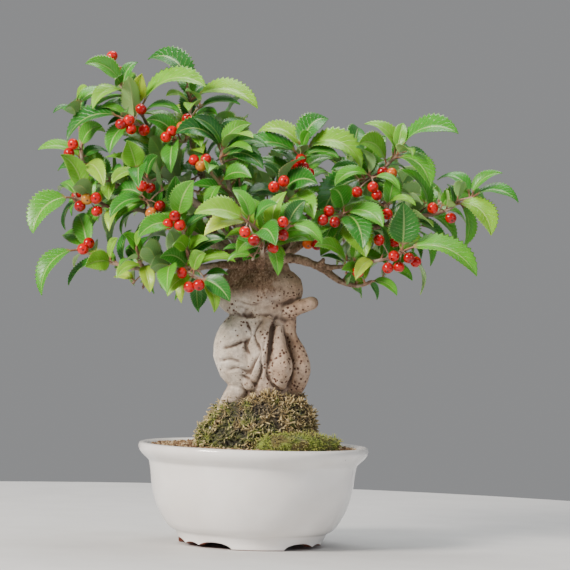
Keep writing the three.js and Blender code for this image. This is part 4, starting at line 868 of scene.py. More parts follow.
SPRAYS = [
  spray("left_low_tip", "left_low", 1, [[106, 261, -15], [80, 250, -16]], 2,
        [leaf(1, 42, 296, -26, 0.35, 1, 0.24), leaf(0.85, 74, 268, -4, 0.3, 0.8),
         leaf(0.4, 118, 238, -24, 0.6, 0.9), leaf(0.35, 85, 267, -30, 0.85, 1.4, 0.1)],
        berries=[[83, 249, -22], [89, 243, -20]]),
  spray("left_low_inner", "left_low", 0.86, [[140, 262, -24], [137, 250, -28]], 1,
        [leaf(0.7, 125, 238, -36, 0.7, 1.1), leaf(1, 146, 228, -34, 0.6, 0.9),
         leaf(0.3, 150, 293, -30, 0.5, 1.1)]),
  spray("trunk_left", "left_low", 0.5, [[190, 274, -26], [199, 279, -32]], 0,
        [leaf(0.9, 198, 310, -38, 0.6, 0.9), leaf(1, 214, 313, -34, 0.6, 0.9),
         leaf(1, 230, 302, -38, 0.8, 1.2, 0.15), leaf(0.8, 171, 294, -40, 0.6, 1.1),
         leaf(0.7, 206, 254, -44, 0.7, 1), leaf(0.4, 236, 262, -32, 0.4, 1),
         leaf(0.2, 160, 258, -36, 0.8, 1.2)],
        berries=[[199, 285, -40], [189, 287, -38], [182, 273, -36]]),
  spray("front_left", "left_low", 0.46, [[188, 254, -26], [184, 234, -28], [178, 219, -30]], 1,
        [leaf(0.95, 194, 180, -38, 0.85, 1.3, 0.12), leaf(1, 176, 175, -30, 0.8, 1.1),
         leaf(0.8, 138, 238, -40, 0.6, 1.1), leaf(0.35, 175, 234, -40, 0.85, 1.2),
         leaf(0.3, 204, 243, -38, 0.6, 0.9)], berries=[[175, 216, -37], [180, 225, -36]],
        more=[[168, 224, -34]]),
  spray("left_mid_tip", "left_mid", 1, [[98, 202, -11], [74, 198, -14]], 1,
        [leaf(1, 33, 234, -26, 0.5, 1.35, 0.22), leaf(0.85, 60, 153, -16, 0.75, 1),
         leaf(0.95, 60, 184, -2, 0.4, 0.9), leaf(0.6, 87, 172, -8, 0.6, 0.8),
         leaf(0.3, 91, 232, -22, 0.6, 1.1), leaf(0.2, 76, 247, -10, 0.5, 1)],
        berries=[[80, 206, -20], [87, 199, -21], [97, 211, -18]],
        more=[[96, 198, -23], [77, 196, -10]]),
  spray("left_mid_inner", "left_mid", 0.66, [[152, 204, -14], [146, 200, -20]], 2,
        [leaf(0.9, 110, 218, -28, 0.45, 1.1), leaf(0.5, 115, 224, -14, 0.5, 1.1),
         leaf(1, 106, 194, -16, 0.7, 1.2)], berries=[[151, 213, -28], [160, 206, -26]]),
  spray("left_high_tip", "left_high", 1,
        [[90, 172, -3], [82, 160, -4], [80, 134, -4], [77, 104, -4]], 2,
        [leaf(1, 87, 86, -12, 0.5, 0.9), leaf(0.93, 53, 113, -12, 0.35, 0.8),
         leaf(0.97, 112, 94, 6, 0.4, 1.2), leaf(0.45, 40, 150, -14, 0.4, 1),
         leaf(0.6, 106, 124, -12, 0.7, 1.2), leaf(0.4, 104, 187, -20, 0.8, 1),
         leaf(0.5, 108, 152, 4, 0.5, 1.1)], berries=[[69, 153, -12], [73, 144, -14]]),
  spray("leader_left_low", "leader_left", 0.52, [[150, 182, -14], [137, 172, -26]], 2,
        [leaf(1, 127, 140, -36, 0.95, 1.5, 0.08), leaf(0.9, 112, 184, -32, 0.5, 1.1),
         leaf(0.6, 158, 156, -26, 0.6, 1.1)], berries=[[150, 188, -26], [142, 186, -30]]),
  spray("leader_left_mid", "leader_left", 0.85, [[134, 124, -12], [124, 119, -16]], 2,
        [leaf(1, 67, 141, -22, 0.4, 1.1, 0.24), leaf(0.8, 98, 108, -16, 0.4, 1),
         leaf(0.5, 112, 150, -24, 0.6, 1.1)],
        berries=[[121, 124, -24], [129, 120, -24], [131, 129, -22]],
        more=[[141, 109, -14], [144, 130, -16]]),
  spray("back_low", "back", 0.35, [[236, 228, 44], [228, 218, 56]], 5),
  spray("top_left", "leader_left", 1, [[136, 104, -5], [121, 86, -7]], 1,
        [leaf(0.95, 88, 54, -10, 0.6, 1.1), leaf(1, 116, 56, -14, 0.85, 1.1, 0.12),
         leaf(0.9, 138, 62, 2, 0.5, 0.9), leaf(0.75, 91, 86, -20, 0.35, 1.1, 0.26),
         leaf(0.3, 142, 73, -14, 0.8, 1, 0.12), leaf(0.2, 202, 88, -24, 0.4, 1.1, 0.26),
         leaf(0.1, 181, 114, -10, 0.3, 1)], berries=[[111, 66, 0], [118, 71, 2]],
        more=[[112, 56, -2]]),
  spray("top", "leader", 1, [[191, 104, 0], [187, 90, -1]], 2,
        [leaf(1, 145, 57, 4, 0.4, 1.4, 0.3), leaf(0.6, 258, 109, -10, 0.35, 1.1, 0.22),
         leaf(0.35, 166, 96, -12, 0.4, 1), leaf(0.5, 212, 86, 12, 0.4, 1)],
        berries=[[182, 127, -6], [187, 119, -8], [192, 121, -10]], more=[[194, 130, -8]]),
  spray("leader_mid", "leader", 0.78, [[184, 142, 0], [174, 140, -8]], 3,
        [leaf(0.9, 146, 120, -14, 0.7, 1.2), leaf(0.3, 166, 98, -24, 0.6, 1)],
        berries=[[166, 137, -16], [172, 131, -14]]),
  spray("center_up_tip", "center_up", 1, [[221, 157, -13], [223, 150, -14]], 1,
        [leaf(0.6, 172, 157, -26, 0.5, 1.25, 0.28), leaf(0.8, 191, 117, -14, 0.5, 1.1),
         leaf(1, 238, 113, -12, 0.7, 1), leaf(0.9, 257, 117, 0, 0.5, 1),
         leaf(0.7, 268, 147, -22, 0.35, 1), leaf(0.4, 256, 154, -32, 0.5, 1)]),
  spray("center_mid", "center_up", 0.55, [[222, 186, -16], [212, 174, -22]], 2,
        [leaf(1, 208, 186, -44, 0.6, 0.9), leaf(0.9, 180, 160, -20, 0.5, 1.1),
         leaf(0.6, 252, 178, -30, 0.6, 1.1)],
        berries=[[194, 160, -22], [201, 166, -26], [206, 159, -24]]),
  spray("center_front", "front", 1, [[258, 230, -40], [248, 222, -44]], 1,
        [leaf(1, 194, 214, -52, 0.5, 1.3, 0.14), leaf(0.8, 204, 236, -44, 0.5, 1.1),
         leaf(0.4, 276, 246, -58, 0.8, 1.3), leaf(1, 232, 190, -42, 0.5, 1.2),
         leaf(0.7, 278, 204, -52, 0.5, 1)], berries=[[254, 240, -52], [245, 232, -52]]),
  spray("center_right", "front", 0.6, [[276, 240, -36], [288, 227, -42]], 2,
        [leaf(1, 306, 200, -46, 0.9, 1.4, 0.1), leaf(1, 322, 245, -48, 0.45, 1.1),
         leaf(0.3, 278, 276, -40, 0.6, 1)],
        berries=[[283, 222, -48], [283, 235, -48], [273, 248, -44]]),
  spray("right_up_tip", "right_up", 1, [[301, 162, -4], [302, 152, -5]], 1,
        [leaf(1, 257, 133, -2, 0.45, 1.2, 0.26), leaf(0.7, 248, 139, -18, 0.4, 1.1),
         leaf(1, 329, 119, 6, 0.4, 1.3, 0.26), leaf(1, 314, 126, -16, 0.6, 0.9),
         leaf(0.9, 363, 146, -10, 0.45, 1.2, 0.34), leaf(0.6, 335, 158, -16, 0.5, 0.9)],
        berries=[[301, 159, -12], [295, 165, -11], [309, 173, -10]], more=[[304, 167, -16]]),
  spray("right_up_mid", "right_up", 0.55, [[288, 200, -10], [280, 188, -18]], 2,
        [leaf(1, 262, 166, -26, 0.4, 1), leaf(0.8, 318, 184, -30, 0.7, 1.3),
         leaf(0.5, 310, 216, -32, 0.6, 1.2)], berries=[[274, 187, -26], [284, 181, -26]]),
  spray("right_high_tip", "right_high", 1, [[390, 162, 5], [399, 154, 4]], 0,
        [leaf(1, 459, 134, -4, 0.4, 1.3, 0.26), leaf(0.7, 364, 124, 6, 0.4, 1.1, 0.28),
         leaf(0.3, 362, 134, -12, 0.6, 1.2), leaf(0.7, 430, 188, -12, 0.4, 1.2, 0.22),
         leaf(1, 431, 171, 2, 0.4, 1, 0.28), leaf(0.9, 402, 128, 16, 0.5, 0.9)],
        berries=[[383, 172, -3], [392, 173, -4]]),
  spray("right_high_mid", "right_high", 0.8, [[366, 180, 0], [372, 178, -6]], 1,
        [leaf(1, 346, 183, -22, 0.4, 1.1, 0.24), leaf(0.4, 331, 170, -4, 0.5, 1.1),
         leaf(1, 400, 191, -14, 0.4, 0.9), leaf(0.6, 336, 206, -26, 0.8, 1.3)],
        berries=[[357, 192, -16], [373, 187, -16], [377, 195, -14]]),
  spray("right_mid_inner", "right_mid", 0.42, [[342, 220, -6], [344, 214, -16]], 1,
        [leaf(0.8, 358, 240, -38, 0.6, 1.2), leaf(0.5, 366, 258, -24, 0.8, 1.3, 0.12),
         leaf(1, 387, 229, -26, 0.5, 1.2), leaf(0.8, 316, 238, -28, 0.6, 1.2),
         leaf(1, 330, 190, -36, 0.8, 1.3)], berries=[[323, 220, -26], [335, 222, -26]],
        more=[[329, 211, -24], [308, 244, 3], [317, 245, 1]]),
  spray("right_mid_outer", "right_mid", 0.72, [[388, 212, -4], [386, 206, -10]], 2,
        [leaf(1, 416, 206, -18, 0.35, 1, 0.22), leaf(0.4, 364, 216, -16, 0.5, 1.1)],
        berries=[[387, 214, -18], [396, 233, -14], [395, 242, -15]]),
  spray("far_right", "right_mid", 1,
        [[436, 214, -4], [450, 209, -6], [459, 200, -7], [472, 198, -8]], 0,
        [leaf(1, 503, 173, -10, 0.45, 1), leaf(1, 519, 203, -14, 0.4, 1.05, 0.22),
         leaf(0.95, 437, 180, 0, 0.4, 1.1, 0.3), leaf(0.7, 463, 174, -16, 0.3, 0.9),
         leaf(0.6, 491, 236, -20, 0.45, 1.3, 0.26), leaf(0.72, 463, 247, -10, 0.5, 1.1),
         leaf(0.12, 401, 170, -6, 0.4, 1.1), leaf(0.05, 454, 250, -4, 0.4, 1.2, 0.26)],
        berries=[[433, 208, -12], [451, 218, -14]]),
  spray("right_low_end", "right_low_fork", 1, [[376, 261, -20], [390, 258, -21], [402, 252, -22]],
        1,
        [leaf(1, 403, 202, -32, 0.85, 1.5, 0.08), leaf(0.9, 429, 240, -28, 0.7, 1.2),
         leaf(1, 477, 277, -30, 0.4, 1.1, 0.22), leaf(0.95, 423, 297, -28, 0.35, 1, 0.26),
         leaf(0.3, 360, 276, -34, 0.5, 1)],
        berries=[[394, 256, -28], [399, 267, -24], [409, 258, -30], [416, 262, -25]],
        more=[[379, 240, -26], [358, 272, -27], [388, 268, -30]]),
  spray("right_low_tip", "right_low", 1, [[364, 285, -17], [370, 282, -20]], 1,
        [leaf(1, 397, 296, -24, 0.5, 1), leaf(0.8, 377, 300, -12, 0.6, 0.9),
         leaf(0.6, 345, 260, -30, 0.5, 1)]),
  spray("back_left_tip", "back_left", 1, [[138, 196, 43], [122, 190, 46]], 7),
  spray("back_left_mid", "back_left", 0.62, [[176, 184, 34], [170, 158, 34]], 6),
  spray("back_tip", "back", 1, [[238, 150, 34], [230, 138, 33]], 7),
  spray("back_mid", "back", 0.6, [[276, 186, 44], [290, 176, 52]], 6),
  spray("back_right_tip", "back_right", 1, [[384, 204, 47], [402, 196, 50]], 7),
  spray("back_right_mid", "back_right", 0.62, [[350, 188, 36], [352, 164, 33]], 6),
]

# Where a leaf may be swung to, in millimetres of depth and of height.
SWINGS = [
  (0, 0), (5, 0), (-5, 0), (10, 0), (-10, 0), (0, 6), (0, -6), (8, 6), (-8, 6), (8, -6), (-8, -6),
  (16, 0), (-16, 0), (0, 12), (0, -12), (12, 12), (-12, 12), (12, -12), (-12, -12),
]
GOLDEN_ANGLE = math.radians(137.5)
FIRST_LEAF = 0.3
FILL_FORWARD = (0.35, 0.5)  # the least value and how far a draw adds to it, as below
FILL_RISE = 0.25
FILL_LENGTH = (21, 8)
FILL_WIDE = (0.95, 0.35)
FILL_ARCH = (0.14, 0.12)
FILL_FACE = 0.35


def leaf_bones(stalk, tip, face, arch, towards):
    """The arc of a leaf's midrib, and the way its face is turned."""
    along = unit(tip - stalk)
    base = stalk - along * LEAF_SUNK
    length = np.linalg.norm(tip - base)
    outward = (base - CROWN_MIDDLE) * (1, 1, 0)
    bow = UP + OUTWARD_LEAN * unit(outward)
    bow = unit(bow - along * bow.dot(along))
    half = 2 * math.atan(2 * arch)
    seen = unit(towards - along * towards.dot(along))
    turned = unit(bow * (1 - face) + seen * face)
    across = np.cross(along, bow)
    return {"base": base, "along": along, "bow": bow, "across": across, "length": length,
            "half": half, "radius": length / (2 * math.sin(half)),
            "roll": math.atan2(turned.dot(across), turned.dot(bow))}


def leaf_station(bones, t, twist=0.0):
    """The midrib's point at t, with the blade's normal and sideways direction there."""
    angle = bones["half"] * (2 * t - 1)
    rise = bones["radius"] * (math.cos(angle) - math.cos(bones["half"]))
    run = bones["length"] / 2 + bones["radius"] * math.sin(angle)
    point = bones["base"] + bones["along"] * run + bones["bow"] * rise
    outer = bones["along"] * math.sin(angle) + bones["bow"] * math.cos(angle)
    roll = bones["roll"] + twist
    normal = outer * math.cos(roll) + bones["across"] * math.sin(roll)
    side = bones["across"] * math.cos(roll) - outer * math.sin(roll)
    return point, normal, side


def swung(base, tip, swing):
    """The tip swung by a step, with the leaf's length kept."""
    aim = unit(tip + np.array([0.0, *swing]) - base)
    return base + aim * np.linalg.norm(tip - base)


def limb_route(spec):
    """The path of the limb that carries a spray."""
    path, _ = LIMBS[spec["limb"]]
    return route(path)


def stem_points(spec):
    """A spray's stem from the middle of its limb, as the points it runs straight between."""
    return [curve_point(limb_route(spec), spec["at"])] + route(spec["stem"])


def on_stem(points, t):
    """The point at a share t of a stem."""
    at = t * (len(points) - 1)
    low = min(int(at), len(points) - 2)
    return points[low] + (points[low + 1] - points[low]) * (at - low)


def fill_leaves(points, count, draw):
    """Leaves that fill in round a stem, each turned on from the last by the golden angle."""
    made = []
    start = next(draw) * 2 * math.pi
    for k in range(count):
        at = FIRST_LEAF + (1 - FIRST_LEAF) * (k + 0.6) / count
        base = on_stem(points, at)
        tangent = curve_tangent(points, at)
        side = unit(np.cross(UP, tangent))
        lift = np.cross(tangent, side)
        turn = start + k * GOLDEN_ANGLE
        drawn = [least + more * next(draw) for least, more in
                 (FILL_FORWARD, FILL_LENGTH, FILL_WIDE, FILL_ARCH)]
        aim = tangent * drawn[0] + side * math.cos(turn) + lift * math.sin(turn)
        aim = unit(aim + UP * FILL_RISE)
        made.append({"base": base, "tip": base + aim * drawn[1], "face": FILL_FACE,
                     "wide": drawn[2], "arch": drawn[3], "towards": unit(base - CROWN_MIDDLE)})
    return made


def packed_corners(node):
    """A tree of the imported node's corners, in millimetres from the pot's foot."""
    points = points_of(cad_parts[node].data) / MM - POT_PLACE
    tree = kdtree.KDTree(len(points))
    for i, point in enumerate(points):
        tree.insert(point, i)
    tree.balance()
    return tree


def packed_bones(corners, wanted):
    """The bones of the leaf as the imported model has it, or None where it left the leaf out."""
    for swing in SWINGS:
        tip = swung(wanted["base"], wanted["tip"], swing)
        bones = leaf_bones(wanted["base"], tip, wanted["face"], wanted["arch"], wanted["towards"])
        end, normal, _ = leaf_station(bones, 1.0)
        edges = [end + normal * LEAF_THICK / 2, end - normal * LEAF_THICK / 2]
        if all(corners.find(edge)[2] < TIP_MATCH for edge in edges):
            return bones
    return None


def spray_leaves(spec, number, points):
    """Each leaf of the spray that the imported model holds: its bones and its width."""
    draw = draws(SEED + number)
    shown = [{**one, "base": on_stem(points, one["at"])} for one in spec["leaves"]]
    wanted = shown + fill_leaves(points, spec["fill"], draw)
    corners = packed_corners("spray_" + spec["name"])
    found = [(packed_bones(corners, one), one["wide"]) for one in wanted]
    return [(bones, wide) for bones, wide in found if bones]


# Further leaves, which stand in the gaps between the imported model's.
CROWN_OUTLINE = [
  (33, 232), (60, 150), (55, 113), (85, 60), (115, 50), (150, 52), (185, 55), (205, 85), (258, 97),
  (300, 112), (345, 118), (405, 125), (458, 122), (455, 145), (432, 165), (470, 168), (503, 168),
  (520, 200), (493, 235), (470, 250), (477, 277), (425, 297), (360, 300), (330, 262), (300, 258),
  (270, 258), (232, 262), (222, 300), (200, 315), (160, 295), (130, 290), (100, 275), (42, 296),
  (42, 265),
]
BARE_WOOD = 0.42  # share of a limb that carries no leaf
BARE_TRUNK = (26.0, 151.0, -25.0)  # half the width, the top and the front of the space kept free
BUD_SPACING = 1.8
BUD_TRIES = 2
SHOOT_TRIES = 9  # for each spray
SHOOT_LENGTH = (6.0, 15.0)
SHOOT_OUTWARD = 0.5
SHOOT_BOW = 0.8
SHOOT_RADII = (0.5, 0.36)
SHOOT_BUDS = (0.6, 0.8, 1.0)
MORE_LENGTHS = (25, 23, 21, 19, 17, 15, 13)
MORE_CELL = 1.2  # no further leaf comes nearer to another than this
BLADE_HELD = 0.15  # the share of a leaf from which it keeps others away
BLADE_FREE = 0.3  # the share of a further leaf from which it stands clear
LEAFY_SHARE = 0.3  # of a limb, before its spray, that carries leaves too
LEAFY_STEPS = 8
TRY_TURN = 0.31  # of the golden angle, from one try at a bud to the next
# The least and the most that a draw gives each further leaf.
MORE_FORWARD = (0.1, 0.9)
MORE_RISE = (0, 0.5)
MORE_FACE = (0.25, 0.7)
MORE_ARCH = (0.12, 0.26)
MORE_WIDE = (0.95, 1.25)
MORE_TO_EYE = 0.7
LIMB_SPOTS = 90
BUD_SEED = 900
# A berry's middle and the ends of its three widths, in radii.
BERRY_SPOTS = ((0, 0, 0), (1, 0, 0), (-1, 0, 0), (0, 1, 0), (0, -1, 0), (0, 0, 1), (0, 0, -1))


def cell_of(point):
    """The cell of space that a point is in."""
    return tuple(np.floor(point / MORE_CELL).astype(int))


def leaf_cells(bones, wide, first):
    """The cells of space that a leaf's blade passes through, from the share first of its length."""
    greatest = LEAF_WIDTH * wide * bones["length"] / 2
    cells = set()
    for t in np.linspace(first, 1.0, 9):
        point, _, side = leaf_station(bones, t)
        half = greatest * leaf_outline(t)
        cells |= {cell_of(point + side * half * share) for share in (-0.9, -0.45, 0.0, 0.45, 0.9)}
    return cells


def around(cells):
    """The cells and the ones next to them."""
    steps = (-1, 0, 1)
    return {(x + i, y + j, z + k) for x, y, z in cells for i in steps for j in steps for k in steps}


def fits(bones, wide, taken):
    """Whether a leaf stays in the crown, off the bare trunk and clear of what is taken."""
    half, top, front = BARE_TRUNK
    for t in (0.6, 1.0):
        point = leaf_station(bones, t)[0]
        if not inside(CROWN_OUTLINE, seen_at(point)):
            return False
        if abs(point[0]) < half and point[2] < top and point[1] > front:
            return False
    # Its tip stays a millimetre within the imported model's box.
    tip = (leaf_station(bones, 1.0)[0] + POT_PLACE) * MM
    if any(tip[i] < cad_box[0][i] + MM or tip[i] > cad_box[1][i] - MM for i in range(3)):
        return False
    return not leaf_cells(bones, wide, BLADE_FREE) & taken


def leaf_at_bud(base, tangent, k, rng, taken):
    """The longest leaf that fits at the bud numbered k of a stem, or None."""
    across = unit(np.cross(UP + 0.01, tangent))
    lift = np.cross(tangent, across)
    towards = unit(unit(base - CROWN_MIDDLE) + MORE_TO_EYE * TOWARDS_EYE)
    for tried, reach in enumerate(MORE_LENGTHS * BUD_TRIES):
        turn = (k + TRY_TURN * tried) * GOLDEN_ANGLE
        aim = tangent * rng.uniform(*MORE_FORWARD) + across * math.cos(turn) + lift * math.sin(turn)
        tip = base + unit(aim + UP * rng.uniform(*MORE_RISE)) * reach
        bones = leaf_bones(base, tip, rng.uniform(*MORE_FACE), rng.uniform(*MORE_ARCH), towards)
        wide = rng.uniform(*MORE_WIDE)
        if fits(bones, wide, taken):
            taken |= around(leaf_cells(bones, wide, BLADE_FREE))
            return bones, wide
    return None


def leafy_path(spec):
    """The leafy end of a spray's limb and then its stem, as the points it runs through."""
    stem = stem_points(spec)
    if spec["at"] <= BARE_WOOD:
        return stem
    way = limb_route(spec)
    start = max(BARE_WOOD, spec["at"] - LEAFY_SHARE)
    reach = spec["at"] - start
    return [curve_point(way, start + reach * i / LEAFY_STEPS) for i in range(LEAFY_STEPS)] + stem


def bud_leaves(path, rng, taken):
    """Leaves at the buds along a path."""
    length = sum(np.linalg.norm(b - a) for a, b in zip(path, path[1:]))
    count = int(length / BUD_SPACING)
    made = []
    for k in range(count):
        at = (k + 0.5) / count
        made.append(leaf_at_bud(on_stem(path, at), curve_tangent(path, at), k, rng, taken))
    return [one for one in made if one]


def side_shoots(path, rng, taken):
    """Short twigs that reach into the gaps round a path, and the leaves that fit along them."""
    leaves, twigs = [], []
    for _ in range(SHOOT_TRIES):
        foot = on_stem(path, rng.uniform(0.05, 0.95))
        aim = unit(rng.normal(size=3) + SHOOT_OUTWARD * unit(foot - CROWN_MIDDLE))
        tip = foot + aim * rng.uniform(*SHOOT_LENGTH)
        bowed = smooth_path([foot, (foot + tip) / 2 + SHOOT_BOW * UP, tip], 6)
        cells = {cell_of(point) for point in bowed[3:]}
        if cells & taken or not inside(CROWN_OUTLINE, seen_at(tip)):
            continue
        found = [leaf_at_bud(on_stem(bowed, at), aim, k, rng, taken)
                 for k, at in enumerate(SHOOT_BUDS)]
        found = [one for one in found if one]
        if found:
            leaves += found
            twigs.append(list(bowed))
            taken |= around(cells)
    return leaves, twigs


# Leaves, stems and berries as chains of points for the geometry trees


def leaf_places():
    """Places along a leaf and whether each is a tooth, a notch or neither."""
    stalk = [(STALK_SHARE * i / 4, 0.0) for i in range(4)]
    blade = []
    count = 2 * LEAF_TEETH
    for i in range(count + 1):
        tooth = i % 2
        share = (i + 0.35 * tooth) / (count + 0.35)
        blade.append((STALK_SHARE + (1 - STALK_SHARE) * share, 1.0 if tooth else -1.0))
    return stalk + blade


LEAF_BASE_POWER = 0.72
LEAF_TIP_POWER = 1.04
LEAF_OUTLINE_GAIN = 3.305  # brings the outline's greatest to 1
LEAST_HALF_WIDTHS = (0.4, 0.06)  # of a leaf, and of its last tenth
LEAF_TWIST = 0.22
RIPPLE_HEIGHT = 0.1  # of the half width
RIPPLE_TURN = 9
TONE_SHAPE = (1.5, 1.8)  # of the spread of leaf tones, from old to young


def leaf_outline(t):
    """A leaf's half width as a share of its greatest."""
    s = (t - STALK_SHARE) / (1 - STALK_SHARE)
    if s <= 0 or s >= 1:
        return 0.0
    return LEAF_OUTLINE_GAIN * s ** LEAF_BASE_POWER * (1 - s) ** LEAF_TIP_POWER


def leaf_rows(bones, wide, rng):
    """The chain of one leaf: its points and the values that go with each."""
    greatest = LEAF_WIDTH * wide * bones["length"] / 2
    twist = rng.uniform(-LEAF_TWIST, LEAF_TWIST)
    phase = rng.uniform(0, 6.3)
    ripple = rng.uniform(0.5, 1.0) * RIPPLE_HEIGHT * greatest
    tone = rng.beta(*TONE_SHAPE)
    rows = []
    for t, tooth in leaf_places():
        point, normal, side = leaf_station(bones, t, twist * (t - 0.35))
        share = leaf_outline(t)
        toothed = share * (1 + TOOTH_DEPTH * tooth * min(1.0, 3 * share))
        half = max(greatest * toothed, LEAST_HALF_WIDTHS[t >= 0.9])
        wave = ripple * share * math.sin(RIPPLE_TURN * t + phase)
        rows.append((point, {"blade": 1.0, "along": t, "half": half * MM, "ripple": wave * MM,
                             "side": side, "face": normal, "tone": tone}))
    return rows


STEM_STEP = 1.1
JOINT_SWELL = 0.28
JOINT_REACH = 0.8
# The bud that ends a stem: how far out each ring stands, and its radius.
END_BUD = ((0.7, 0.72), (1.3, 0.62), (1.9, 0.34), (2.3, 0.06))


def stem_rows(points, radii, joints=(), bud=True):
    """The chain of a stem that swells where its leaves stand and ends in a bud."""
    steps = []
    for here, there in zip(points, points[1:]):
        count = max(2, int(np.linalg.norm(there - here) / STEM_STEP))
        steps += [here + (there - here) * i / count for i in range(count)]
    steps.append(points[-1])
    soft = list(steps)
    for i in range(1, len(steps) - 1):
        soft[i] = (steps[i - 1] + 2 * steps[i] + steps[i + 1]) / 4
    rows = []
    for i, point in enumerate(soft):
        near = min((np.linalg.norm(point - joint) for joint in joints), default=9.0)
        swell = JOINT_SWELL * math.exp(-(near / JOINT_REACH) ** 2)
        rows.append((point, between(radii, i / (len(soft) - 1)) + swell))
    if bud:
        ahead = unit(points[-1] - points[-2])
        rows += [(points[-1] + ahead * far, radius) for far, radius in END_BUD]
    blank = np.zeros(3)
    return [(point, {"blade": 0.0, "along": 0.0, "half": radius * MM, "ripple": 0.0, "side": blank,
                     "face": blank, "tone": 0.0}) for point, radius in rows]


def chain_mesh(name, chains):
    """One mesh of loose edges from chains of points with their values."""
    points, edges = [], []
    values = {label: [] for label in chains[0][0][1]}
    for chain in chains:
        first = len(points)
        edges += [(first + i, first + i + 1) for i in range(len(chain) - 1)]
        for point, row in chain:
            points.append(point)
            for label, value in row.items():
                values[label].append(value)
    return new_mesh(name, points, edges=edges, values=values)


def joined_piece(name, pieces):
    """The pieces as one, which keeps their materials and values."""
    first = pieces[0]
    with bpy.context.temp_override(active_object=first, object=first,
                                   selected_editable_objects=pieces):
        bpy.ops.object.join()
    first.name = name
    return first


SPRAY_SEED = 100


def make_spray(spec, number, leaves, twigs, tree):
    """A leafy spray: its stem and side twigs with their leaves."""
    rng = np.random.default_rng(SPRAY_SEED + number)
    points = stem_points(spec)
    chains = [stem_rows(points, STEM_RADII, [bones["base"] for bones, _ in leaves])]
    chains += [stem_rows(twig, SHOOT_RADII) for twig in twigs]
    chains += [leaf_rows(bones, wide, rng) for bones, wide in leaves]
    node = "spray_" + spec["name"]
    piece = grown("leafy_" + node, chain_mesh(node, chains), tree)
    finish_piece(piece, "leaf_green", node)


def space_taken(held):
    """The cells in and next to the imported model's leaves, the berries and the limbs."""
    cells = set()
    for leaves in held:
        for bones, wide in leaves:
            cells |= leaf_cells(bones, wide, BLADE_HELD)
    for spec in SPRAYS:
        for berry in spec["berries"] + spec["more"]:
            cells |= {cell_of(place(berry) + BERRY_RADIUS * np.array(way)) for way in BERRY_SPOTS}
    for path, _ in LIMBS.values():
        cells |= {cell_of(point) for point in smooth_path(route(path), LIMB_SPOTS)}
    return around(cells)


def crown():
    """Each spray's leaves and side twigs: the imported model's, then those in the gaps between."""
    held = [spray_leaves(spec, i, stem_points(spec)) for i, spec in enumerate(SPRAYS)]
    taken = space_taken(held)
    rngs = [np.random.default_rng(BUD_SEED + i) for i in range(len(SPRAYS))]
    paths = [leafy_path(spec) for spec in SPRAYS]
    budded = [bud_leaves(path, rng, taken) for path, rng in zip(paths, rngs)]
    shoots = [side_shoots(path, rng, taken) for path, rng in zip(paths, rngs)]
    return [(leaves + more + on_twigs, twigs)
            for leaves, more, (on_twigs, twigs) in zip(held, budded, shoots)]


def bunch_foot(points, heart):
    """The point on the stem's middle that is nearest to the bunch."""
    spots = [on_stem(points, min(i * FOOT_STEP, 1.0)) for i in range(int(1 / FOOT_STEP) + 1)]
    return min(spots, key=lambda spot: np.linalg.norm(spot - heart))


def berry_feet(spec):
    """Each berry's middle, with the point its stalk starts from."""
    stem = stem_points(spec)
    wood = stem + list(smooth_path(limb_route(spec), 30))
    middles = [place(berry) for berry in spec["berries"]]
    foot = bunch_foot(stem, sum(middles) / len(middles))
    feet = [(middle, foot) for middle in middles]
    for berry in spec["more"]:
        middle = place(berry)
        feet.append((middle, min(wood, key=lambda spot: np.linalg.norm(spot - middle))))
    return feet


BUNCH_SEED = 500
BERRY_DROOP = 0.35
BERRY_CROWN = 0.86  # of the radius, where the stalk meets the berry
BERRY_STALK_RADII = (0.34, 0.3, 0.27, 0.42)
BERRY_SIZES = (0.94, 1.04)  # of the radius
RIPE_SHARE = 0.85
RIPE_TONES = (0, 0.62)
UNRIPE_TONES = (0.8, 0.95)


def make_bunch(spec, number, stalk_tree, fruit_tree):
    """A bunch of berries, each on its own bowed stalk."""
    rng = np.random.default_rng(BUNCH_SEED + number)
    rows = []
    stalks = []
    for middle, foot in berry_feet(spec):
        axis = unit(unit(middle - foot) - BERRY_DROOP * UP)
        top = middle - axis * BERRY_RADIUS * BERRY_CROWN
        bowed = smooth_path([foot, (foot + top) / 2 + 0.5 * UP, top], 8)
        stalks.append(stem_rows(list(bowed), BERRY_STALK_RADII, bud=False))
        tones = RIPE_TONES if rng.random() < RIPE_SHARE else UNRIPE_TONES
        rows.append((middle, {"axis": axis, "tone": rng.uniform(*tones),
                              "size": rng.uniform(*BERRY_SIZES, 3)}))
    values = {label: [row[label] for _, row in rows] for label in rows[0][1]}
    node = "berries_" + spec["name"]
    middles = [middle for middle, _ in rows]
    fruit = grown(node + "_fruit", new_mesh(node, middles, values=values), fruit_tree)
    stalk = grown(node + "_stalks", chain_mesh(node + "_way", stalks), stalk_tree)
    finish_piece(joined_piece("ripe_" + node, [fruit, stalk]), "berry_skin", node)


# The trunk


# How far out and how wide the rings of a round end stand, in the end's radius.
ROUND_END = ((0.5, 0.87), (0.87, 0.5))


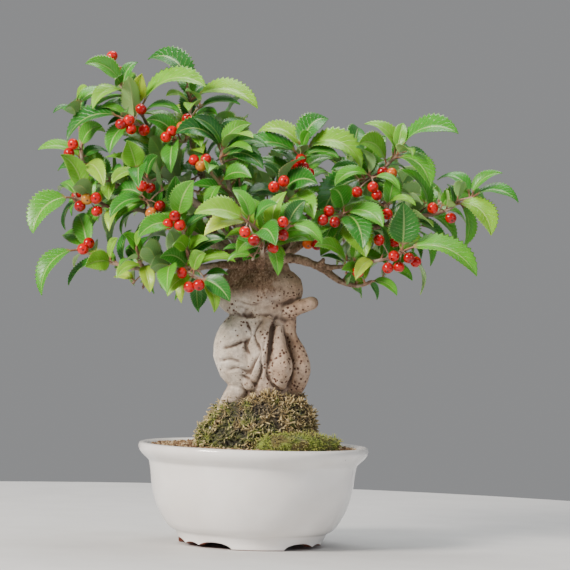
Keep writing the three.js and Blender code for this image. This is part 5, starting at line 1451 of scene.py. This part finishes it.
def tube(path, radii, sides, round_ends):
    """A closed tube round a path of points, with its radii spread along it."""
    points = [np.asarray(p, dtype=float) for p in path]
    count = len(points)
    rings = [(points[i], between(radii, i / (count - 1))) for i in range(count)]
    start = unit(points[0] - points[1])
    end = unit(points[-1] - points[-2])
    if round_ends:
        rings = ([(points[0] + start * radii[0] * f, radii[0] * s) for f, s in reversed(ROUND_END)]
                 + rings + [(points[-1] + end * radii[-1] * f, radii[-1] * s) for f, s in ROUND_END])
    centres = [centre for centre, _ in rings]
    side = unit(np.cross(points[1] - points[0], UP + 0.01))
    corners = []
    for i, (centre, radius) in enumerate(rings):
        ahead = unit(centres[min(i + 1, len(rings) - 1)] - centres[max(i - 1, 0)])
        side = unit(side - ahead * side.dot(ahead))
        lift = np.cross(ahead, side)
        for k in range(sides):
            turn = 2 * math.pi * k / sides
            corners.append(centre + radius * (side * math.cos(turn) + lift * math.sin(turn)))
    first, last = len(corners), len(corners) + 1
    reach = 1.0 if round_ends else 0.0
    corners += [points[0] + start * radii[0] * reach, points[-1] + end * radii[-1] * reach]
    faces = []
    for i in range(len(rings) - 1):
        for k in range(sides):
            n = (k + 1) % sides
            faces.append((i * sides + k, i * sides + n, (i + 1) * sides + n, (i + 1) * sides + k))
    top = (len(rings) - 1) * sides
    for k in range(sides):
        n = (k + 1) % sides
        faces += [(first, n, k), (last, top + k, top + n)]
    return corners, faces


def gathered(parts):
    """Points and faces of several parts as one."""
    points, faces = [], []
    for corners, loops in parts:
        first = len(points)
        points += list(corners)
        faces += [tuple(first + i for i in loop) for loop in loops]
    return points, faces


def distance_to(points, path):
    """How far each point lies from a path, and the share of the path where it is nearest."""
    best = np.full(len(points), 1e9)
    share = np.zeros(len(points))
    for i, (a, b) in enumerate(zip(path, path[1:])):
        way = b - a
        t = np.clip((points - a) @ way / (way @ way), 0, 1)
        far = np.linalg.norm(points - (a + t[:, None] * way), axis=1)
        closer = far < best
        best[closer] = far[closer]
        share[closer] = ((i + t) / (len(path) - 1))[closer]
    return best, share


def neighbour_means(mesh, rows, times):
    """The rows averaged with their neighbours' several times."""
    count = len(mesh.vertices)
    edges = np.empty(2 * len(mesh.edges), dtype=np.int64)
    mesh.edges.foreach_get("vertices", edges)
    a, b = edges.reshape(-1, 2).T
    near = np.bincount(a, minlength=count) + np.bincount(b, minlength=count)
    rows = rows.copy()
    for _ in range(times):
        total = np.stack([np.bincount(a, rows[b, i], count) + np.bincount(b, rows[a, i], count)
                          for i in range(rows.shape[1])], axis=1)
        rows = 0.4 * rows + 0.6 * total / near[:, None]
    return rows


# Grooves and ridges drawn on the trunk's front: a path in the picture, how deep, and how wide.
CARVINGS = [
  ([[222, 348, -13], [232, 346, -16], [246, 341, -16]], 1.5, 1.1),
  ([[224, 341, -14], [236, 340, -16], [247, 335, -15]], -0.8, 1.4),
  ([[219, 361, -12], [231, 359, -16], [243, 363, -15]], 1.0, 1.0),
  ([[226, 370, -10], [238, 368, -15], [249, 373, -14]], 0.9, 1.0),
  ([[278, 316, -12], [273, 326, -14], [271, 342, -15], [269, 360, -17], [266, 380, -17]], 1.5, 0.9),
  ([[284, 328, -12], [289, 350, -14], [292, 368, -14], [289, 386, -12]], 0.8, 0.9),
  ([[262, 320, -14], [254, 334, -17], [259, 350, -18], [252, 366, -17], [246, 380, -15]], 1.5, 0.9),
  ([[266, 338, -17], [261, 356, -18], [262, 370, -17], [256, 386, -14]], 1.3, 0.8),
  ([[268, 372, -17], [272, 384, -16], [282, 392, -15]], 1.3, 0.9),
  ([[247, 322, -14], [251, 334, -16], [246, 346, -16], [252, 358, -16]], 1.0, 0.8),
  ([[240, 374, -14], [250, 380, -15], [258, 388, -14]], 1.1, 0.9),
  ([[228, 309, -9], [246, 316, -13], [264, 314, -14], [284, 320, -11]], 1.2, 1.3),
  ([[243, 312, -13], [248, 314, -14], [253, 313, -14]], 1.4, 1.0),
  ([[236, 300, -12], [250, 305, -14], [262, 303, -14]], 0.7, 0.8),
  ([[268, 300, -14], [284, 303, -12], [296, 298, -8]], 0.6, 1.2),
]

# The same for its back, which the picture doesn't show.
BACK_CARVINGS = [
  ([[247, 300, 14], [240, 326, 16], [249, 356, 17], [241, 392, 15]], 1.9, 1.5),
  ([[272, 304, 15], [282, 332, 16], [271, 362, 17], [280, 394, 16]], 2.1, 1.4),
  ([[259, 316, 18], [265, 340, 18], [258, 368, 18], [262, 390, 17]], 1.5, 1.3),
  ([[232, 316, 8], [252, 322, 16], [276, 319, 15], [294, 312, 8]], 1.6, 2.2),
  ([[253, 346, 18], [262, 352, 18], [272, 345, 18]], 1.1, 1.2),
]

CARVING_STEPS = 16
CARVING_SLOPE = 2.2  # how soon a carving reaches its depth as the wood turns to face the side
CARVING_PAST = 4.0  # how far past the trunk's middle a carving may run


def carve(points, normals, carvings, facing):
    """The points moved in or out along carvings, on the side that faces 1 back or -1 front."""
    shift = np.zeros(len(points))
    flat = np.array([1.0, 0.0, 1.0])
    near = facing * points[:, 1] > -CARVING_PAST
    front = np.clip(CARVING_SLOPE * facing * normals[:, 1], 0, 1) * near
    for path, depth, width in carvings:
        way = smooth_path([spot * flat for spot in route(path)], CARVING_STEPS)
        far, share = distance_to(points * flat, way)
        ends = np.clip(4 * np.minimum(share, 1 - share) + 0.25, 0, 1)
        shift -= depth * ends * np.exp(-(far / width) ** 2)
    return points + normals * (shift * front)[:, None]


def bumps(points, size, amount):
    """How far smooth seeded noise lifts each point."""
    return np.array([amount * noise.noise(Vector(p) / size) for p in points])


LIMB_SEED = 40
LIMB_RINGS = 40
LIMB_SIDES = 10
LIMB_KNOTS = (0.9, 1.14)  # of the radius
LOBE_RINGS = 12
LOBE_SIDES = 20
TRUNK_VOXEL = 0.62
TRUNK_SOFTENED = 5
# The trunk's half width at heights up to where it all turns to limbs.
TRUNK_HEIGHTS = (130.0, 140.0, 150.0)
TRUNK_HALF_WIDTHS = (30.0, 20.0, 0.0)
BARK_LUMPS = ((7.0, 0.5), (2.6, 0.16))  # how wide and how high
HOLLOW_ROUNDS = 14
HOLLOW_GAIN = 2.2
WORN_PATH = [[228, 276, -9], [250, 270, -12], [250, 290, -13]]  # over the head's left shoulder
WORN_REACH = 18.0
WORN_ABOVE = 120.0
LIMB_WEAR = 0.75
ALGAE_BELOW = 78.0


def limb_tubes():
    """Every limb as a closed tube with a slightly knotty run of radii."""
    tubes = []
    last = LIMB_RINGS - 1
    for number, (path, radii) in enumerate(list(LIMBS.values()) + TWIGS):
        rng = np.random.default_rng(LIMB_SEED + number)
        way = smooth_path(route(path), LIMB_RINGS)
        knotty = [between(radii, i / last) * rng.uniform(*LIMB_KNOTS) for i in range(LIMB_RINGS)]
        tubes.append(tube(way, knotty, LIMB_SIDES, False))
    return tubes


def make_trunk(bark):
    """The trunk's folds grown together with the limbs, carved, cracked and pored."""
    lobes = [tube(smooth_path(route(path), LOBE_RINGS), radii, LOBE_SIDES, True)
             for path, radii in TRUNK_LOBES]
    points, faces = gathered(lobes + limb_tubes())
    piece = new_piece("trunk_and_limbs", new_mesh("trunk_and_limbs", points, faces))
    weld = piece.modifiers.new("weld", "REMESH")
    weld.mode = "VOXEL"
    weld.voxel_size = TRUNK_VOXEL * MM
    soften = piece.modifiers.new("soften", "SMOOTH")
    soften.factor = 0.5
    soften.iterations = TRUNK_SOFTENED
    bake_modifiers(piece)
    dress_trunk(piece.data)
    piece.data.materials.append(bark)
    piece.data.shade_smooth()
    finish_piece(piece, "bark", "trunk")


def dress_trunk(mesh):
    """The carvings, lumps and the values that colour the bark."""
    points = points_of(mesh) / MM - POT_PLACE
    half = np.interp(points[:, 2], TRUNK_HEIGHTS, TRUNK_HALF_WIDTHS)
    thick = np.clip((half - np.abs(points[:, 0])) / 4, 0, 1)
    points = carve(points, normals_of(mesh), CARVINGS, -1)
    points = carve(points, normals_of(mesh), BACK_CARVINGS, 1)
    lumps = sum(bumps(points, *lump) for lump in BARK_LUMPS)
    points = points + normals_of(mesh) * (lumps * (0.25 + 0.75 * thick))[:, None]
    mesh.vertices.foreach_set("co", ((points + POT_PLACE) * MM).ravel())
    mesh.update()
    # Painted shade: the bark darkens where a point lies sunk below its smoothed neighbours.
    smoothed = neighbour_means(mesh, points, HOLLOW_ROUNDS)
    inward = np.sum((smoothed - points) * normals_of(mesh), axis=1)
    store(mesh, "hollow_shade", np.clip(inward * HOLLOW_GAIN * thick, 0, 0.9))
    far, _ = distance_to(points, route(WORN_PATH))
    ragged = far + bumps(points, 4.0, 6.0)
    high = np.clip((points[:, 2] - WORN_ABOVE) / 8, 0, 1)
    worn = np.clip((WORN_REACH - ragged) / 6, 0, 1) * high
    store(mesh, "rough", np.maximum(worn, (1 - thick) * LIMB_WEAR))
    low = np.clip((ALGAE_BELOW - points[:, 2]) / 10, 0, 1) * np.clip((points[:, 0] + 4) / 8, 0, 1)
    store(mesh, "algae", low * np.clip(0.3 + bumps(points, 4.0, 0.8), 0, 0.6))


# The pot and what is in it

ARCH_SCALLOPS = ((0.0, 0.18, 2.4), (-0.41, 0.27, 3.2), (0.41, 0.27, 3.2))
POT_WALL = [
  (36.0, 0.35), (36.3, 3.0), (37.3, 5.2), (38.2, 6.6), (40.5, 8.0), (43.4, 11.1), (47.5, 18.7),
  (50.0, 27.0), (51.2, 36.2), (52.1, 41.0),
]
POT_LIP = [
  (52.1, 41.0), (53.6, 42.4), (55.6, 44.2), (57.0, 46.2), (57.5, 47.9), (57.1, 49.4), (56.0, 50.0),
  (54.6, 49.9), (53.2, 49.2), (51.6, 47.2),
]
POT_INSIDE = [(51.6, 47.2), (48.6, 43.0), (46.6, 32.0), (44.6, 20.0), (40.0, 11.0), (35.0, 8.0)]
POT_UNDER = [(6.0, 8.0), (6.0, 3.5), (30.6, 3.5), (31.2, 3.0), (31.6, 0.3), (32.2, 0.0), (35.3, 0.0)]


def arch_height(turns):
    """How high the foot ring is cut away at each turn about the pot's axis."""
    high = np.zeros(len(turns))
    for foot in range(FEET):
        middle = math.radians(FOOT_TURN + 360 * (foot + 0.5) / FEET)
        for turn, half, height in ARCH_SCALLOPS:
            off = (turns - middle - turn + np.pi) % (2 * np.pi) - np.pi
            inside = np.clip(1 - (off / half) ** 2, 0, None)
            high = np.maximum(high, height * np.sqrt(inside))
    return high


FOOT_RING_RADIUS = 31.0
FOOT_RING_HEIGHT = 3.4


def make_pot(glaze, clay):
    """The pot, glazed but for the underside of its foot, which three scalloped arches cut."""
    wall = smooth_path(POT_WALL, 34)
    lip = smooth_path(POT_LIP, 24)[1:]
    inner = smooth_path(POT_INSIDE, 12)[1:]
    profile = np.concatenate([wall, lip, inner, np.array(POT_UNDER)])
    points, faces = lathe(profile, POT_SIDES)
    turns = np.arctan2(points[:, 0], -points[:, 1])
    radius = np.hypot(points[:, 0], points[:, 1])
    ring = (points[:, 2] < FOOT_RING_HEIGHT) & (radius > FOOT_RING_RADIUS)
    points[ring, 2] = np.maximum(points[ring, 2], arch_height(turns)[ring])
    mesh = new_mesh("glazed_pot", points, faces)
    mesh.materials.append(glaze)
    mesh.materials.append(clay)
    first_under = (len(profile) - len(POT_UNDER) + 1) * POT_SIDES
    bare = [int(i >= first_under) for i in range(len(mesh.polygons))]
    mesh.polygons.foreach_set("material_index", bare)
    mesh.shade_smooth()
    mesh.update()
    finish_piece(new_piece("glazed_pot", mesh), "white_glaze", "pot")


MOUND_MIDDLE = np.array([1.0, -1.0])
MOUND_HEIGHT = 28.0
MOUND_LEAN = 9.0  # how far its top stands to the right
MOUND_SHOULDER = np.array([-15.0, -12.0, 64.0])  # the left front, over the root
MOUND_SHOULDER_RISE = 4.5
MOUND_SHOULDER_REACH = 9.0
# Gaps between the clumps at the front, sunk and painted in shade: where in the picture, and how wide.
MOUND_GAPS = [((247, 411), 3.4), ((238, 430), 2.6), ((262, 425), 2.2), ((287, 410), 2.2),
              ((221, 424), 1.8), ((278, 433), 1.8), ((300, 424), 1.8), ((229, 412), 1.6)]
MOUND_PROFILE = [(28.8, -1.5), (29.7, 3.5), (28.5, 9), (25.3, 15.4), (21, 21.4), (16.5, 24.5),
                 (12.5, 26.8), (2, 28)]

MOUND_CORE = [(0.4, 27.0), (0.4, -1.0)]
MOUND_RINGS = 46
MOUND_SIDES = 150
MOUND_CLUMP = 6.4
MOUND_CLUMP_HEIGHT = 3.4
MOUND_SUNK = 2.3
MOUND_GAP_DEPTH = 1.5
MOUND_UPWARD = 0.55  # how much of the height counts in the way the clumps stand out


def clumps(points, size):
    """How far each point stands out as part of a clump, from 0 in the gaps to 1."""
    out = []
    for point in points:
        near, _ = noise.voronoi(Vector(point) / size)
        out.append(min(1.0, (near[1] - near[0]) * 1.7))
    return np.array(out)


def filled(points):
    """How full of moss each point of the mound is, from 0 in its front gaps to 1."""
    full = np.ones(len(points))
    front = points[:, 1] < 0
    for (across, down), wide in MOUND_GAPS:
        spot = place((across, down, -20.0))
        far = np.hypot(points[:, 0] - spot[0], points[:, 2] - spot[2])
        full -= front * full * np.exp(-(far / wide) ** 2)
    return full


def make_mound(tree):
    """The mound of old moss: clumps with sunken gaps painted in shade, covered in curled shoots."""
    profile = smooth_path(MOUND_PROFILE, MOUND_RINGS)
    profile[:, 1] += SOIL_TOP + GAP
    profile = np.concatenate([profile, np.array(MOUND_CORE) + (0, SOIL_TOP)])
    points, faces = lathe(profile, MOUND_SIDES)
    swell = clumps(points + bumps(points, 4.0, 2.0)[:, None], MOUND_CLUMP)
    full = filled(points)
    swell *= full
    raised = MOUND_CLUMP_HEIGHT * swell - MOUND_SUNK + bumps(points, 9.0, 1.5)
    raised -= MOUND_GAP_DEPTH * (1 - full)
    outer = np.arange(len(points)) < MOUND_RINGS * MOUND_SIDES
    away = points * (1, 1, MOUND_UPWARD)
    away[:, 2] -= MOUND_UPWARD * SOIL_TOP
    away /= np.linalg.norm(away, axis=1)[:, None]
    points = points + away * (raised * outer)[:, None]
    points[:, :2] += MOUND_MIDDLE
    share = np.clip((points[:, 2] - SOIL_TOP) / MOUND_HEIGHT, 0, 1.1)
    points[:, 0] += MOUND_LEAN * share ** 2
    far = np.linalg.norm(points - MOUND_SHOULDER, axis=1)
    points[:, 2] += MOUND_SHOULDER_RISE * outer * np.exp(-(far / MOUND_SHOULDER_REACH) ** 2)
    damp = 0.9 - (points[:, 2] - SOIL_TOP) / 26 - points[:, 0] / 60
    # open is how full each clump is; the moss material paints shade where it is low.
    base = new_mesh("mound", points, faces, values={
        "rise": 0.5 * swell, "tone": 0.3 * swell, "dense": np.clip(2.0 * swell, 0.3, 1),
        "damp": np.clip(damp, 0, 1), "open": swell})
    piece = grown("old_moss_mound", base, tree, OLD_SHOOTS)
    finish_piece(piece, "old_moss", "moss_mound")


CUSHION_PATH = [[264, 446, -34], [286, 444, -33], [312, 443, -27], [335, 443, -14]]
CUSHION_RADII = [4.0, 6.0, 4.6, 2.2]
CUSHION_RINGS = 30
CUSHION_SIDES = 40
CUSHION_CLUMP = 4.6


def make_cushion(tree):
    """The cushion of fresh moss at the mound's right front."""
    path = smooth_path(route(CUSHION_PATH), CUSHION_RINGS)
    points, faces = tube(path, CUSHION_RADII, CUSHION_SIDES, True)
    points = np.array(points)
    swell = clumps(points + bumps(points, 3.0, 1.5)[:, None], CUSHION_CLUMP)
    points = points + (1.5 * swell - 1.3 + bumps(points, 6.0, 1.8))[:, None] * UP
    points[:, 2] = np.maximum(points[:, 2], SOIL_TOP + GAP)
    # open also sets the painted shade between the cushion's clumps.
    base = new_mesh("cushion", points, faces, values={
        "rise": 0.2 + 0.3 * swell, "tone": 0.5 * swell, "dense": np.clip(0.3 + swell, 0, 1),
        "damp": 0.4 + bumps(points, 5.0, 0.6), "open": 0.3 + swell})
    piece = grown("fresh_moss_cushion", base, tree, FRESH_SHOOTS)
    finish_piece(piece, "fresh_moss", "moss_cushion")


SOIL_RADIUS = 51.2
SOIL_RINGS = 40
SOIL_SIDES = 96
SOIL_RISE = 0.4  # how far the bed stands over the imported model's
SOIL_UNDER = [(47.6, 42.2), (44.8, 22.1), (36.6, 8.6), (14, 8.6), (14, 10), (0.5, 10)]
CRUMBS_FROM = 20.0  # nearer to the pot's axis the moss hides the bed


def make_soil(tree):
    """The soil: a rough bed whose top is crowded with crumbs."""
    top = [(r, SOIL_TOP + SOIL_RISE) for r in np.linspace(0.5, SOIL_RADIUS, SOIL_RINGS)]
    points, faces = lathe(np.array(top + SOIL_UNDER)[::-1], SOIL_SIDES)
    upper = points[:, 2] > SOIL_TOP
    points[:, 2] += upper * bumps(points, 5.0, 0.6)
    seen = np.hypot(points[:, 0], points[:, 1]) > CRUMBS_FROM
    base = new_mesh("soil_bed", points, faces, values={
        "top": (upper & seen).astype(float), "tone": 0.25 + bumps(points, 3.0, 0.25)})
    finish_piece(grown("crumbled_soil", base, tree), "potting_soil", "soil")


def dress_screen(plastic):
    """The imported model's drainage screen, which the soil hides, in its own plastic."""
    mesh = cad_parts["drain_screen"].data
    mesh.materials.clear()
    mesh.materials.append(plastic)


# Camera, light and floor


def set_camera():
    """The camera at the picture's place, turned by the picture's roll."""
    lens = bpy.data.cameras.new("camera")
    lens.sensor_width = 36.0
    width = PICTURE_SIZE * MM_PER_PIXEL
    lens.lens = lens.sensor_width * -EYE[1] / width
    lens.clip_start = 0.05
    lens.clip_end = 20.0
    camera = new_piece("camera", lens)
    aim = Vector(AIM - EYE).to_track_quat("-Z", "Y").to_matrix().to_4x4()
    spot = Matrix.Translation(Vector((EYE + POT_PLACE) * MM))
    camera.matrix_world = spot @ aim @ Matrix.Rotation(PICTURE_ROLL, 4, "Z")
    bpy.context.scene.camera = camera


FLOOR_RADIUS = 420.0
FLOOR_SIDES = 96
LIGHT_AIM = (0.0, 0.0, 0.13)
# Each soft box: its name, place and size in metres, watts and colour.
SOFT_BOXES = [
    ("key_box", (-0.95, -0.85, 0.8), 0.42, 36.0, "#fff6ec"),
    ("fill_box", (0.95, -0.8, 0.45), 0.7, 3.5, "#f2f6ff"),
    ("top_box", (0.05, 0.25, 1.15), 0.6, 10.0, "#ffffff"),
]


def soft_light(name, spot, size, watts, code):
    """A square soft box that faces the tree."""
    lamp = bpy.data.lights.new(name, "AREA")
    lamp.size = size
    lamp.energy = watts
    lamp.color = linear(code)[:3]
    light = new_piece(name, lamp)
    light.location = spot
    light.rotation_euler = (Vector(LIGHT_AIM) - Vector(spot)).to_track_quat("-Z", "Y").to_euler()


def set_stage():
    """A pale round floor, a pale sky and three soft boxes."""
    turn = np.arange(FLOOR_SIDES) * 2 * np.pi / FLOOR_SIDES
    ring = np.stack([np.cos(turn), np.sin(turn), turn * 0], axis=1) * FLOOR_RADIUS
    mesh = new_mesh("floor", ring, [tuple(range(FLOOR_SIDES))])
    paper, tree, shader, coords = new_material("matt_paper", Roughness=0.7)
    tooth = add(tree, "ShaderNodeTexNoise",
                {"Vector": coords, "Scale": 1 / (30 * MM), "Detail": 2})
    tint = graded(add(tree, "ShaderNodeValToRGB", {0: tooth}),
                  [(0.3, "#cfcfce"), (0.7, "#d4d4d3")])
    tree.links.new(tint.outputs[0], shader.inputs["Base Color"])
    mesh.materials.append(paper)
    new_piece("floor", mesh)
    world = bpy.data.worlds.new("pale_room")
    world.use_nodes = True
    back = world.node_tree.nodes["Background"]
    back.inputs["Color"].default_value = linear("#e2e3e5")
    back.inputs["Strength"].default_value = 0.36
    bpy.context.scene.world = world
    for box in SOFT_BOXES:
        soft_light(*box)


set_camera()
set_stage()
make_pot(glazed_porcelain(), fired_clay())
dress_screen(moulded_plastic())
make_soil(crumb_tree(baked_clay_soil()))
make_mound(shoot_tree(moss("old_moss", OLD_MOSS)))
make_cushion(shoot_tree(moss("fresh_moss", FRESH_MOSS)))
make_trunk(old_bark())
foliage = spray_tree(leaf_blade(), twig_bark())
fruit = berry_tree(berry_skin())
for number, (spec, (blades, twigs)) in enumerate(zip(SPRAYS, crown())):
    make_spray(spec, number, blades, twigs, foliage)
    if spec["berries"]:
        make_bunch(spec, number, foliage, fruit)
